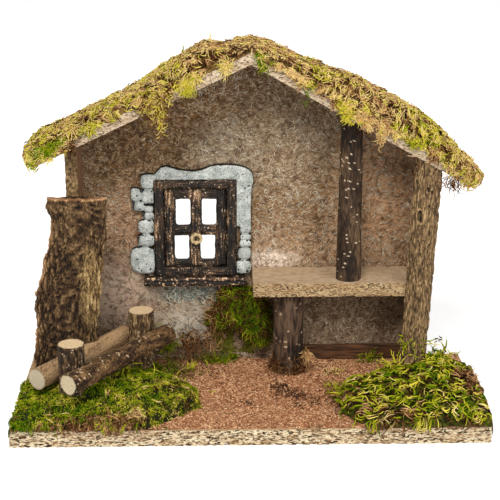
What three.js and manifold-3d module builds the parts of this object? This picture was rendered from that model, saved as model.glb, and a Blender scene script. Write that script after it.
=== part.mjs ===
// Nativity stable: a shallow open-fronted house of chipboard on a board, with a mossy
// gable roof, a loft on rustic posts, a cast window with a stone surround, a slab of cork
// bark, a post and rail fence, a sanded floor and beds of moss.
// Millimetres, +Z up. The origin is the middle of the base board's underside. X runs to
// the right as the open front is seen, and the front faces -Y.

import * as THREE from "three";
import { mergeVertices } from "three/addons/utils/BufferGeometryUtils.js";
import Module from "manifold-3d";

const wasm = await Module();
wasm.setup();

// Fits
const GLUE_GAP = 0.3;

// Base board and sanded floor
const BASE_WIDTH = 450;
const BASE_DEPTH = 180;
const BASE_THICKNESS = 16;
const SAND_THICKNESS = 0.8;
const SAND_RIM = 2;

// House of chipboard panels, with a bare margin of the base board on each side of it
const LEFT_MARGIN = 48.5;
const RIGHT_MARGIN = 44.5;
const HOUSE_DEPTH = 52;
const WALL_THICKNESS = 10;
const SIDE_THICKNESS = 12;

// Roof boards, mitred at the ridge; heights are of their undersides
const RIDGE_HEIGHT = 339;
const LEFT_PITCH = 25.3;
const RIGHT_PITCH = 29.3;
const LEFT_EAVE = 30.5;
const RIGHT_EAVE = 37.5;
const ROOF_THICKNESS = 11;
const ROOF_OVERHANG = 14;

// Loft floor, from its free end to the right side panel
const LOFT_TOP = 118;
const LOFT_THICKNESS = 14;
const LOFT_LENGTH = 163.5;

// Trunk that stands on the loft and carries the roof
const ROOF_TRUNK_FROM_END = 96;
const ROOF_TRUNK_SETBACK = 16;
const ROOF_TRUNK_FOOT = 25.5;
const ROOF_TRUNK_HEAD = 20.6;

// Trunk that carries the loft, flared like a stump at its foot
const LOFT_TRUNK_FROM_END = 36.5;
const LOFT_TRUNK_SETBACK = 23;
const LOFT_TRUNK_DIAMETER = 30.5;
const LOFT_TRUNK_FLARE = 3.5;
const LOFT_TRUNK_FLARE_HEIGHT = 26;
const LOFT_TRUNK_ROOTS = 5;

// Half-round post with its bark on, glued on the right panel's front edge, leaning out
const BARK_POST_WIDTH = 25.5;
const BARK_POST_THICKNESS = 11;
const BARK_POST_FOOT_INSET = 14.8;
const BARK_POST_LEAN = 2.35;
const BARK_FURROW = 0.05;

// Slab of cork bark, glued on the left panel's front edge
const CORK_HEIGHT = 192;
const CORK_THICKNESS = 13;
const CORK_NOTCH_CLEARANCE = 1.5;
// Its ridges: mean thickness and the coarse and fine swing about it, as shares of the whole
const CORK_RELIEF = { mean: 0.77, coarse: 0.15, fine: 0.08 };
// Its ragged edges: share of the height, then reach from the panel's outer face
const CORK_OUTER_EDGE = [
  [0, 39], [0.1, 39.6], [0.21, 36.8], [0.33, 34.9], [0.45, 36.2], [0.55, 30.3], [0.6, 26],
  [0.68, 25.2], [0.72, 20.8], [0.82, 15.8], [0.89, 14.5], [0.94, 19.6], [1, 16.8],
];
const CORK_INNER_EDGE = [[0, 24], [0.4, 27.6], [0.48, 29.9], [0.65, 34.2], [0.76, 37.2], [1, 38.1]];

// Batten that holds the wall's foot, right of the loft trunk
const BATTEN_HEIGHT = 16;
const BATTEN_THICKNESS = 5;

// Window: outer frame, sash with four lights, sill and ring handle
const WINDOW_TO_LOFT = 57.5;
const WINDOW_FOOT = 111.5;
const FRAME_WIDTH = 83;
const FRAME_HEIGHT = 101.5;
const FRAME_BAR = 9.5;
const FRAME_THICKNESS = 8;
const LINTEL_HEIGHT = 7;
const LINTEL_INSET = 2;
const SASH_THICKNESS = 4;
const SASH_STILE = 11.5;
const SASH_TOP_RAIL = 11.5;
const SASH_FOOT_RAIL = 7;
const MULLION = 11.7;
const MUNTIN = 10.8;
const MUNTIN_DROP = 33;
// Planks stand proud of the frame and the sash. The upper lights sit right of the lower ones
const PLANK_PROUD = 1.2;
const PLANK_WIDTH = 7;
const MUNTIN_PLANK = 5;
const LIGHT_SHIFT = 0.8;
const LIGHT_FOOT_CORNER = 3;
const LIGHT_HEAD_CORNER = 1.2;
const CAST_EDGE = 1;
const HOLE_REBATE = 3.5;
const SILL_LENGTH = 103;
const SILL_SHIFT = -1.5;
const SILL_HEIGHT = 10;
const SILL_REACH = 14;
const SILL_NOSE = 3;
const RING_RADIUS = 4.5;
const RING_WIRE = 2;
const RING_DROP = 7.5;

// Stone surround: plaster and stones stand proud of a bed of mortar
const MORTAR_THICKNESS = 3;
const MORTAR_SHARE = 0.4;
const STONE_THICKNESS = 8.5;
const STONE_RIM = 5.5;
const STONE_SQUARENESS = 4;
const PLASTER_THICKNESS = 7.5;
const PLASTER_ROUNDING = 2.5;
// Each stone's left edge and foot from the window's middle and foot, then its width and height.
// Neighbours in a list are neighbours on the wall
const LEFT_STONES = [
  [-55.3, 91.2, 17.5, 16.7], [-54.5, 76, 15.6, 15.4], [-65.4, 78.6, 11.2, 14.8], [-62.4, 68.4, 11.4, 10.4],
  [-52.2, 67.3, 10.4, 7.8], [-52, 59.4, 11.8, 8.2], [-59, 44.6, 18, 15.2], [-58.4, 31, 17.8, 13.2],
  [-67.2, 1.6, 26.9, 29.6],
];
const RIGHT_STONES = [
  [44.5, 44.4, 12.7, 11.6], [44.8, 37.6, 12.4, 6.9], [44, 30, 13.2, 7.8], [42.3, 16.4, 14.9, 13.8],
  [40, 1, 17.2, 15.6],
];
// Outer edge of the plaster, from the top left stone over the head to the right stones
const PLASTER_EDGE = [
  [-44, 103], [-32, 115.5], [-16, 112], [2, 110.5], [20, 116.5], [43, 116], [56, 110.5],
  [59, 101], [57.2, 90], [56.6, 74], [56.8, 52],
];

// Fence: two posts and two rails, one on each side of them. The front post stands in from
// the left panel's outer face and before the house
const FENCE_INSET = 6.5;
const FENCE_ADVANCE = 69;
const FENCE_TURN = 55.2;
const FENCE_SPACING = 108.5;
const POST_DIAMETER = 25;
const POST_HEIGHT = 67;
const FRONT_RAIL_DIAMETER = 20;
const FRONT_RAIL_HEIGHT = 42;
const FRONT_RAIL_START = -32;
const FRONT_RAIL_LENGTH = 154;
const REAR_RAIL_DIAMETER = 21;
const REAR_RAIL_HEIGHT = 33;
const REAR_RAIL_START = -23;
const REAR_RAIL_LENGTH = 135;
const RAIL_SLANT = 0.3;
// Rails bear on the posts at this share of their radii, between the swells of the bark
const RAIL_SEAT = 1.02;

// Moss: beds on the floor, a clump on the wall and a mat on each side of the roof
// A bed's middle is set in from the house's side and back from the board's front edge
const LEFT_BED = { inset: 26.5, setback: 50, width: 204, depth: 150, height: 22, squareness: 2.6, seed: 0.4 };
const RIGHT_BED = { inset: 2.5, setback: 58, width: 192, depth: 144, height: 30, squareness: 2.2, seed: 2.9 };
const WALL_CLUMP = { toLoft: 14, belowSill: 4.5, width: 62, height: 78, thickness: 15, squareness: 3 };
const BED_MARGIN = 1;
// Towards the board's edges a bed thins out over a slope, down to a share of its height
const BED_SLOPE = 50;
const BED_EDGE_SHARE = 0.45;
const MOSS_RIM = 5;
const LUMP_SPREAD = 24;
const LUMP_SHARE = 0.14;
// A mat's thickness at shares of the way from the ridge to the eave
const LEFT_MAT = [
  [0, 8], [0.1, 9], [0.19, 16], [0.35, 16], [0.46, 10], [0.54, 7], [0.84, 6], [0.92, 8.5], [1, 5],
];
const RIGHT_MAT = [
  [0, 8], [0.1, 10], [0.28, 11], [0.37, 17], [0.6, 20], [0.78, 17], [0.86, 11], [0.92, 6.5], [1, 5],
];
// Section of a mat across the roof's depth: share of the depth, then share of the thickness
const MAT_SECTION = [[0, 0], [1, 0], [1, 0.6], [0.85, 0.9], [0.6, 1], [0.35, 1], [0.12, 0.9], [0, 0.6]];
const MAT_LUMPS = 0.2;
const MOSS_CLEARANCE = 0.6;

// Mounds: wobble of the outline, how far the rings climb in and how they are spaced
const MOUND_WOBBLE = 0.05;
const MOUND_CLIMB = 0.96;
const MOUND_SPACING = 1.3;

// Waves that make the bark and the moss uneven: turns round, turns along and share
const WAVES = [
  { around: 2, along: 3.1, share: 0.45 },
  { around: 3, along: -5.3, share: 0.33 },
  { around: 5, along: 9.7, share: 0.22 },
];
const LOG_SIDES = 24;
// Swell of a log's bark as a share of its radius, and the share of that in coarse waves
const LOG_ROUGHNESS = 0.05;
const LOG_COARSE = 0.7;
// A log stays within this share of its radius
const LOG_SWELL = 1.05;
// Share of a half-round section's turn that runs over its bark; the rest is its flat back
const BARK_TURN = 0.8;

// Places that follow from the sizes above
const houseLeft = -BASE_WIDTH / 2 + LEFT_MARGIN;
const houseRight = BASE_WIDTH / 2 - RIGHT_MARGIN;
const houseMiddle = (houseLeft + houseRight) / 2;
const leftRun = houseMiddle - houseLeft + LEFT_EAVE;
const rightRun = houseRight - houseMiddle + RIGHT_EAVE;
const innerLeft = houseLeft + SIDE_THICKNESS;
const innerRight = houseRight - SIDE_THICKNESS;
const wallBack = BASE_DEPTH / 2;
const wallFront = wallBack - WALL_THICKNESS;
const houseFront = wallFront - HOUSE_DEPTH;
const roofFront = houseFront - ROOF_OVERHANG;
const floorTop = BASE_THICKNESS + SAND_THICKNESS;
const loftLeft = innerRight - LOFT_LENGTH;
const loftUnderside = LOFT_TOP - LOFT_THICKNESS;
const windowX = loftLeft - WINDOW_TO_LOFT;
const leftSlope = THREE.MathUtils.degToRad(LEFT_PITCH);
const rightSlope = THREE.MathUtils.degToRad(RIGHT_PITCH);
const fenceTurn = THREE.MathUtils.degToRad(FENCE_TURN);
const fenceX = houseLeft + FENCE_INSET;
const fenceY = houseFront - FENCE_ADVANCE;
const postRadius = POST_DIAMETER / 2;

const chipboard = { color: 0xc3ab86, roughness: 0.9 };
const wallPaint = { color: 0x8a6c50, roughness: 0.95 };
const darkBark = { color: 0x4a3629, roughness: 0.9 };
const greyBark = { color: 0x6f5f4c, roughness: 0.95 };
const cork = { color: 0x6d4f34, roughness: 1 };
const darkTimber = { color: 0x3b281c, roughness: 0.7 };
const stone = { color: 0xd3d9d6, roughness: 0.85 };
const sand = { color: 0xb07a58, roughness: 1 };
const moss = { color: 0x6f7f1f, roughness: 1 };
const brass = { color: 0xb59a62, roughness: 0.5 };

function piece(name, geometry, { color, roughness }) {
  const mesh = new THREE.Mesh(geometry, new THREE.MeshStandardMaterial({ color, roughness, metalness: 0 }));
  mesh.name = name;
  return mesh;
}

// Height of the roof's underside over a place across the house
function roofUnderside(x) {
  const out = x - houseMiddle;
  return RIDGE_HEIGHT - (out < 0 ? -out * Math.tan(leftSlope) : out * Math.tan(rightSlope));
}

function waves(angle, distance, seed) {
  const wave = ({ around, along, share }) => share * Math.sin(around * (angle + seed) + along * distance);
  return WAVES.reduce((sum, next) => sum + wave(next), 0);
}

// Value at a place along a broken line of [place, value] corners
function valueAt(line, at) {
  const next = Math.max(1, line.findIndex(([place]) => place >= at));
  const [[from, low], [to, high]] = [line[next - 1], line[next]];
  return THREE.MathUtils.mapLinear(at, from, to, low, high);
}

function shapeOf(points) {
  return new THREE.Shape(points.map(([x, y]) => new THREE.Vector2(x, y)));
}

// Plate whose outline is drawn in X and Z, with its front face at y
function uprightPlate(shape, front, thickness) {
  const geometry = new THREE.ExtrudeGeometry(shape, { depth: thickness, bevelEnabled: false });
  return geometry.rotateX(Math.PI / 2).translate(0, front + thickness, 0);
}

function block(width, depth, height, x, y, z) {
  return new THREE.BoxGeometry(width, depth, height).translate(x, y, z + height / 2);
}

// Closed solid through a stack of rings. pointAt(up, round) gives each corner for shares
// from 0 to 1, anticlockwise as seen from the last ring. A fan closes each end.
function loft(rings, sides, pointAt) {
  const corners = [];
  for (let i = 0; i <= rings; i++) {
    for (let j = 0; j < sides; j++) corners.push(pointAt(i / rings, j / sides));
  }
  const middleOf = (ring) => {
    const points = corners.slice(ring * sides, (ring + 1) * sides);
    return points.reduce((sum, p) => sum.add(p), new THREE.Vector3()).divideScalar(sides);
  };
  const ends = [middleOf(0), middleOf(rings)];
  const [foot, head] = [corners.length, corners.length + 1];
  const faces = [];
  for (let j = 0; j < sides; j++) {
    const next = (j + 1) % sides;
    faces.push(foot, next, j, head, rings * sides + j, rings * sides + next);
    for (let i = 0; i < rings; i++) {
      const [low, high] = [i * sides, (i + 1) * sides];
      faces.push(low + j, low + next, high + next, low + j, high + next, high + j);
    }
  }
  const geometry = new THREE.BufferGeometry().setFromPoints([...corners, ...ends]);
  return geometry.setIndex(faces);
}

function toSolid(geometry) {
  const bare = geometry.clone();
  bare.deleteAttribute("normal");
  bare.deleteAttribute("uv");
  const merged = mergeVertices(bare, 1e-4);
  return new wasm.Manifold(new wasm.Mesh({
    numProp: 3,
    vertProperties: new Float32Array(merged.attributes.position.array),
    triVerts: new Uint32Array(merged.index.array),
  }));
}

function toGeometry(solid) {
  const mesh = solid.getMesh();
  const geometry = new THREE.BufferGeometry();
  geometry.setAttribute("position", new THREE.BufferAttribute(mesh.vertProperties, 3));
  return geometry.setIndex(new THREE.BufferAttribute(mesh.triVerts, 1));
}

function join(geometries) {
  return geometries.map(toSolid).reduce((all, next) => all.add(next));
}

// Mound on a rounded outline, flat below, with an uneven domed top; rings climb to its middle
function mound({ width, depth, height, squareness, rim, rings, sides, lumps, seed }) {
  return loft(rings, sides, (up, round) => {
    const angle = 2 * Math.PI * round;
    const [cos, sin] = [Math.cos(angle), Math.sin(angle)];
    const outline = Math.pow(Math.abs(cos) ** squareness + Math.abs(sin) ** squareness, -1 / squareness);
    const edge = outline * (1 - MOUND_WOBBLE + MOUND_WOBBLE * waves(angle, 0, seed));
    const climb = Math.max(0, (up * rings - 1) / (rings - 1));
    const inward = 1 - MOUND_CLIMB * Math.pow(climb, MOUND_SPACING);
    const [x, y] = [(width / 2) * edge * inward * cos, (depth / 2) * edge * inward * sin];
    const crown = up === 0 ? 0 : rim + (height - rim) * Math.sqrt(1 - inward * inward);
    return new THREE.Vector3(x, y, crown * (1 + lumps * waves(x / LUMP_SPREAD, y / LUMP_SPREAD, seed)));
  });
}

function baseBoard() {
  return piece("base_board", block(BASE_WIDTH, BASE_DEPTH, BASE_THICKNESS, 0, 0, 0), chipboard);
}

// The sand goes round the house's panels, which stand on the bare board
function sandFloor() {
  const side = BASE_WIDTH / 2 - SAND_RIM;
  const [front, back] = [-BASE_DEPTH / 2 + SAND_RIM, BASE_DEPTH / 2 - SAND_RIM];
  const shape = shapeOf([
    [-side, front], [side, front], [side, back],
    [houseRight + GLUE_GAP, back], [houseRight + GLUE_GAP, houseFront - GLUE_GAP],
    [innerRight - GLUE_GAP, houseFront - GLUE_GAP], [innerRight - GLUE_GAP, wallFront - GLUE_GAP],
    [innerLeft + GLUE_GAP, wallFront - GLUE_GAP], [innerLeft + GLUE_GAP, houseFront - GLUE_GAP],
    [houseLeft - GLUE_GAP, houseFront - GLUE_GAP], [houseLeft - GLUE_GAP, back], [-side, back],
  ]);
  const geometry = new THREE.ExtrudeGeometry(shape, { depth: SAND_THICKNESS, bevelEnabled: false });
  return piece("sand_floor", geometry.translate(0, 0, BASE_THICKNESS), sand);
}

// Where the sash's four lights lie in X and Z, as a whole and one by one
function lights() {
  const half = FRAME_WIDTH / 2 - FRAME_BAR - SASH_STILE;
  const top = WINDOW_FOOT + FRAME_HEIGHT - FRAME_BAR - SASH_TOP_RAIL;
  const foot = WINDOW_FOOT + FRAME_BAR + SASH_FOOT_RAIL;
  const muntin = top - MUNTIN_DROP;
  const columns = [[-half, -MULLION / 2], [MULLION / 2, half]];
  const rows = [[foot, muntin - MUNTIN / 2, -LIGHT_SHIFT], [muntin + MUNTIN / 2, top, LIGHT_SHIFT]];
  const holes = rows.flatMap(([low, high, shift]) => columns.map(([left, right]) => ({
    left: windowX + left + shift, right: windowX + right + shift, low, high,
  })));
  return { half, top, foot, muntin, holes };
}

function lightShape({ left, right, low, high }) {
  const [foot, head] = [LIGHT_FOOT_CORNER, LIGHT_HEAD_CORNER];
  const shape = new THREE.Shape();
  shape.absarc(right - foot, low + foot, foot, -Math.PI / 2, 0);
  shape.absarc(right - head, high - head, head, 0, Math.PI / 2);
  shape.absarc(left + head, high - head, head, Math.PI / 2, Math.PI);
  shape.absarc(left + foot, low + foot, foot, Math.PI, 1.5 * Math.PI);
  return shape;
}

function rectangle(left, right, foot, top) {
  return [[left, foot], [right, foot], [right, top], [left, top]];
}

function backWall() {
  const shape = shapeOf([
    [houseLeft, BASE_THICKNESS], [houseRight, BASE_THICKNESS],
    [houseRight, roofUnderside(houseRight) - GLUE_GAP],
    [houseMiddle, RIDGE_HEIGHT - GLUE_GAP],
    [houseLeft, roofUnderside(houseLeft) - GLUE_GAP],
  ]);
  const { half, top, foot } = lights();
  shape.holes.push(shapeOf(rectangle(
    windowX - half - HOLE_REBATE, windowX + half + HOLE_REBATE, foot - HOLE_REBATE, top + HOLE_REBATE,
  )));
  return piece("back_wall", uprightPlate(shape, wallFront, WALL_THICKNESS), wallPaint);
}

function sidePanel(name, left) {
  const right = left + SIDE_THICKNESS;
  const shape = shapeOf([
    [left, BASE_THICKNESS], [right, BASE_THICKNESS],
    [right, roofUnderside(right) - GLUE_GAP], [left, roofUnderside(left) - GLUE_GAP],
  ]);
  return piece(name, uprightPlate(shape, houseFront, HOUSE_DEPTH), chipboard);
}

// side is -1 for the left board and 1 for the right one; the eave's end is cut square
function roofBoard(name, side, slope, run) {
  const eave = [houseMiddle + side * run, RIDGE_HEIGHT - run * Math.tan(slope)];
  const points = [
    [houseMiddle, RIDGE_HEIGHT],
    eave,
    [eave[0] + side * ROOF_THICKNESS * Math.sin(slope), eave[1] + ROOF_THICKNESS * Math.cos(slope)],
    [houseMiddle, RIDGE_HEIGHT + ROOF_THICKNESS / Math.cos(slope)],
  ];
  return piece(name, uprightPlate(shapeOf(points), roofFront, wallBack - roofFront), chipboard);
}

function loftFloor() {
  const geometry = block(
    LOFT_LENGTH, HOUSE_DEPTH, LOFT_THICKNESS,
    innerRight - LOFT_LENGTH / 2, wallFront - HOUSE_DEPTH / 2, loftUnderside,
  );
  return piece("loft_floor", geometry, chipboard);
}

// How far bark swells or shrinks a log's radius, in coarse waves with finer ones on them
function barkShare(angle, up, seed) {
  const [coarse, fine] = [waves(angle, up, seed), waves(2 * angle, 2 * up, seed + 1)];
  return 1 + LOG_ROUGHNESS * THREE.MathUtils.lerp(fine, coarse, LOG_COARSE);
}

// Upright log between a foot height and a head height that may slope with x
function uprightLog({ x, y, foot, headAt, radiusAt, seed, rings }) {
  return loft(rings, LOG_SIDES, (up, round) => {
    const angle = 2 * Math.PI * round;
    const radius = radiusAt(up, angle) * barkShare(angle, up, seed);
    const px = x + radius * Math.cos(angle);
    const py = y + radius * Math.sin(angle);
    return new THREE.Vector3(px, py, THREE.MathUtils.lerp(foot, headAt(px), up));
  });
}

function roofTrunk() {
  const geometry = uprightLog({
    x: loftLeft + ROOF_TRUNK_FROM_END,
    y: houseFront + ROOF_TRUNK_SETBACK,
    foot: LOFT_TOP,
    headAt: (x) => roofUnderside(x) - GLUE_GAP,
    radiusAt: (up) => THREE.MathUtils.lerp(ROOF_TRUNK_FOOT, ROOF_TRUNK_HEAD, up) / 2,
    seed: 1.3,
    rings: 14,
  });
  return piece("roof_trunk", geometry, darkBark);
}

function loftTrunk() {
  const height = loftUnderside - GLUE_GAP - floorTop;
  const geometry = uprightLog({
    x: loftLeft + LOFT_TRUNK_FROM_END,
    y: houseFront + LOFT_TRUNK_SETBACK,
    foot: floorTop,
    headAt: () => loftUnderside - GLUE_GAP,
    radiusAt: (up, angle) => {
      const flare = Math.max(0, 1 - (up * height) / LOFT_TRUNK_FLARE_HEIGHT);
      const root = (1 + Math.sin(LOFT_TRUNK_ROOTS * angle)) / 2;
      return LOFT_TRUNK_DIAMETER / 2 + LOFT_TRUNK_FLARE * flare * flare * root;
    },
    seed: 2.6,
    rings: 16,
  });
  return piece("loft_trunk", geometry, greyBark);
}

// Half-round section: a flat back on the panel's edge and a bowed, furrowed bark
function halfRound(round, width, thickness) {
  if (round < BARK_TURN) {
    const angle = Math.PI * (1 + round / BARK_TURN);
    return [Math.cos(angle) * width / 2, Math.sin(angle) * thickness];
  }
  const back = (round - BARK_TURN) / (1 - BARK_TURN);
  return [THREE.MathUtils.lerp(width / 2, -width / 2, back), 0];
}

function barkPost() {
  const lean = Math.tan(THREE.MathUtils.degToRad(BARK_POST_LEAN));
  const footX = houseRight - BARK_POST_FOOT_INSET;
  const height = roofUnderside(footX) - floorTop;
  const geometry = loft(18, 25, (up, round) => {
    const [across, out] = halfRound(round, BARK_POST_WIDTH, BARK_POST_THICKNESS);
    const angle = 2 * Math.PI * round;
    const bark = 1 + BARK_FURROW * (waves(angle, 2 * up, 4.1) + waves(3 * angle, 4 * up, 1.7));
    const x = footX + up * height * lean + across * bark;
    const z = THREE.MathUtils.lerp(floorTop, roofUnderside(x) - GLUE_GAP, up);
    return new THREE.Vector3(x, houseFront - GLUE_GAP + out * bark, z);
  });
  return piece("right_bark_post", geometry, greyBark);
}

// Place at a distance from the front post, across being positive on the fence's front side
function fencePoint(distance, across) {
  return new THREE.Vector2(
    fenceX + distance * Math.cos(fenceTurn) + across * Math.sin(fenceTurn),
    fenceY + distance * Math.sin(fenceTurn) - across * Math.cos(fenceTurn),
  );
}

const rearRailAcross = -(postRadius + REAR_RAIL_DIAMETER / 2) * RAIL_SEAT - GLUE_GAP;
const frontRailAcross = (postRadius + FRONT_RAIL_DIAMETER / 2) * RAIL_SEAT + GLUE_GAP;

// Cork slab: a bowed, ridged front on a flat back, with its lower right corner broken
// away where the fence's rear rail passes
function corkSlab() {
  const rearTop = floorTop + REAR_RAIL_HEIGHT + REAR_RAIL_DIAMETER / 2;
  const railDistance = (houseFront - CORK_THICKNESS - fenceY) / Math.sin(fenceTurn);
  const railEdge = fencePoint(railDistance, rearRailAcross).x - REAR_RAIL_DIAMETER / Math.sin(fenceTurn);
  const geometry = loft(38, 30, (up, round) => {
    const z = floorTop + up * CORK_HEIGHT;
    const left = houseLeft - valueAt(CORK_OUTER_EDGE, up);
    const whole = houseLeft + valueAt(CORK_INNER_EDGE, up);
    const right = z < rearTop + CORK_NOTCH_CLEARANCE ? Math.min(whole, railEdge) : whole;
    const [across, out] = halfRound(round, right - left, CORK_THICKNESS);
    const coarse = CORK_RELIEF.coarse * waves(3 * Math.PI * round, 6 * up, 2.2);
    const fine = CORK_RELIEF.fine * waves(7 * Math.PI * round, 13 * up, 5.1);
    const y = houseFront - GLUE_GAP + out * (CORK_RELIEF.mean + coarse + fine);
    return new THREE.Vector3((left + right) / 2 + across, y, z);
  });
  return piece("cork_slab", geometry, cork);
}

function wallBatten() {
  const left = loftLeft + LOFT_TRUNK_FROM_END;
  const geometry = block(
    innerRight - GLUE_GAP - left, BATTEN_THICKNESS, BATTEN_HEIGHT,
    (innerRight - GLUE_GAP + left) / 2, wallFront - BATTEN_THICKNESS / 2, floorTop,
  );
  return piece("wall_batten", geometry, darkTimber);
}

// Cast plate with rounded front edges. It runs into the wall, where castPiece trims it off
function castPlate(shape, thickness, rounding = CAST_EDGE) {
  const geometry = new THREE.ExtrudeGeometry(shape, {
    depth: thickness, bevelThickness: rounding, bevelSize: rounding, bevelOffset: -rounding,
    bevelSegments: 2, curveSegments: 3,
  });
  return geometry.rotateX(Math.PI / 2).translate(0, wallFront + rounding, 0);
}

function castPiece(name, geometries, material) {
  const behind = block(BASE_WIDTH, BASE_DEPTH, 2 * RIDGE_HEIGHT, 0, wallFront + BASE_DEPTH / 2, 0);
  return piece(name, toGeometry(join(geometries).subtract(toSolid(behind))), material);
}

// Plank of the window, proud of a plate of the given thickness
function plank(left, right, foot, top, thickness) {
  return castPlate(shapeOf(rectangle(windowX + left, windowX + right, foot, top)), thickness + PLANK_PROUD);
}

function windowFrame() {
  const half = FRAME_WIDTH / 2;
  const top = WINDOW_FOOT + FRAME_HEIGHT;
  const shape = shapeOf(rectangle(windowX - half, windowX + half, WINDOW_FOOT, top));
  const inner = half - FRAME_BAR;
  shape.holes.push(shapeOf(rectangle(
    windowX - inner, windowX + inner, WINDOW_FOOT + FRAME_BAR, top - FRAME_BAR,
  )));
  const reach = half - LINTEL_INSET;
  const lintelTop = top - LINTEL_INSET / 2;
  const lintel = plank(-reach, reach, lintelTop - LINTEL_HEIGHT, lintelTop, FRAME_THICKNESS);
  return castPiece("window_frame", [castPlate(shape, FRAME_THICKNESS), lintel], darkTimber);
}

// Sash in the frame's opening, its four lights cut through, with planks on its bars
function windowSash() {
  const half = FRAME_WIDTH / 2 - FRAME_BAR - GLUE_GAP;
  const foot = WINDOW_FOOT + FRAME_BAR + GLUE_GAP;
  const head = WINDOW_FOOT + FRAME_HEIGHT - FRAME_BAR - GLUE_GAP;
  const { half: lightHalf, top, foot: lightFoot, muntin, holes } = lights();
  const shape = shapeOf(rectangle(windowX - half, windowX + half, foot, head));
  shape.holes.push(...holes.map(lightShape));
  const stile = (half + lightHalf) / 2;
  const uprights = [-stile, 0, stile].map((x) => plank(
    x - PLANK_WIDTH / 2, x + PLANK_WIDTH / 2, foot + CAST_EDGE, head - CAST_EDGE, SASH_THICKNESS,
  ));
  const crossbar = plank(
    -lightHalf, lightHalf, muntin - MUNTIN_PLANK / 2, muntin + MUNTIN_PLANK / 2, SASH_THICKNESS,
  );
  return castPiece("window_sash", [castPlate(shape, SASH_THICKNESS), ...uprights, crossbar], darkTimber);
}

// Sill with a rounded nose, its section drawn in Y and Z and run along X
function windowSill() {
  const section = new THREE.Shape();
  section.moveTo(0, 0);
  section.lineTo(SILL_REACH - SILL_NOSE, 0);
  section.absarc(SILL_REACH - SILL_NOSE, SILL_NOSE, SILL_NOSE, -Math.PI / 2, 0);
  section.lineTo(SILL_REACH, SILL_HEIGHT - SILL_NOSE);
  section.absarc(SILL_REACH - SILL_NOSE, SILL_HEIGHT - SILL_NOSE, SILL_NOSE, 0, Math.PI / 2);
  section.lineTo(0, SILL_HEIGHT);
  const geometry = new THREE.ExtrudeGeometry(section, {
    depth: SILL_LENGTH, bevelEnabled: false, curveSegments: 5,
  });
  geometry.rotateX(Math.PI / 2).rotateZ(-Math.PI / 2);
  geometry.translate(windowX + SILL_SHIFT + SILL_LENGTH / 2, wallFront, WINDOW_FOOT - SILL_HEIGHT);
  return piece("window_sill", geometry, darkTimber);
}

function ringHandle() {
  const { muntin } = lights();
  const geometry = new THREE.TorusGeometry(RING_RADIUS, RING_WIRE, 8, 20);
  geometry.rotateX(Math.PI / 2);
  const front = wallFront - SASH_THICKNESS - PLANK_PROUD;
  geometry.translate(windowX + LIGHT_SHIFT, front - RING_WIRE - GLUE_GAP, muntin - RING_DROP);
  return piece("ring_handle", geometry, brass);
}

// Stone with a domed face, its back in the wall's front
function stoneBlock([left, foot, width, height], index) {
  const geometry = mound({
    width, depth: height, height: STONE_THICKNESS, squareness: STONE_SQUARENESS, rim: STONE_RIM,
    rings: 5, sides: 16, lumps: LUMP_SHARE, seed: index,
  });
  geometry.rotateX(Math.PI / 2);
  return geometry.translate(windowX + left + width / 2, wallFront, WINDOW_FOOT + foot + height / 2);
}

// Mortar between the middles of neighbouring stones, hidden under them but for the joint
function mortarBetween(...stones) {
  const reach = MORTAR_SHARE * Math.min(...stones.flatMap(([, , width, height]) => [width, height]));
  const x = stones.map(([left, , width]) => windowX + left + width / 2);
  const z = stones.map(([, foot, , height]) => WINDOW_FOOT + foot + height / 2);
  const shape = shapeOf(rectangle(
    Math.min(...x) - reach, Math.max(...x) + reach, Math.min(...z) - reach, Math.max(...z) + reach,
  ));
  return uprightPlate(shape, wallFront - MORTAR_THICKNESS, MORTAR_THICKNESS);
}

function plasterBand() {
  const outer = new THREE.SplineCurve(PLASTER_EDGE.map(([x, z]) => new THREE.Vector2(x, z)));
  const inner = FRAME_WIDTH / 2 - FRAME_BAR;
  const shape = new THREE.Shape(outer.getPoints(24));
  shape.lineTo(inner, PLASTER_EDGE.at(-1)[1]);
  shape.lineTo(inner, FRAME_HEIGHT - FRAME_BAR);
  shape.lineTo(PLASTER_EDGE[0][0], FRAME_HEIGHT - FRAME_BAR);
  return castPlate(shape, PLASTER_THICKNESS, PLASTER_ROUNDING).translate(windowX, 0, WINDOW_FOOT);
}

// Stones, mortar and plaster in one casting, cut out round the frame, over the sill and at
// the loft's end
function windowSurround() {
  const deep = 4 * STONE_THICKNESS;
  const cuts = [
    block(FRAME_WIDTH + 2 * GLUE_GAP, deep, FRAME_HEIGHT + GLUE_GAP, windowX, wallFront, WINDOW_FOOT),
    block(
      SILL_LENGTH + 2 * GLUE_GAP, deep, SILL_HEIGHT + GLUE_GAP,
      windowX + SILL_SHIFT, wallFront, WINDOW_FOOT - SILL_HEIGHT,
    ),
    block(
      LOFT_LENGTH, deep, FRAME_HEIGHT - FRAME_BAR,
      loftLeft - GLUE_GAP + LOFT_LENGTH / 2, wallFront, loftUnderside - GLUE_GAP,
    ),
    block(BASE_WIDTH, deep, 2 * RIDGE_HEIGHT, 0, wallFront + deep / 2, 0),
  ];
  const columns = [LEFT_STONES, RIGHT_STONES];
  const joints = columns.flatMap((stones) => (
    stones.slice(1).map((next, i) => mortarBetween(stones[i], next))
  ));
  const casting = join([...columns.flat().map(stoneBlock), ...joints, plasterBand()]);
  return piece("window_surround", toGeometry(casting.subtract(join(cuts))), stone);
}

function fencePost(name, distance, seed) {
  const { x, y } = fencePoint(distance, 0);
  const geometry = uprightLog({
    x, y, foot: floorTop, headAt: () => floorTop + POST_HEIGHT, radiusAt: () => postRadius, seed, rings: 7,
  });
  return piece(name, geometry, darkBark);
}

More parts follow.
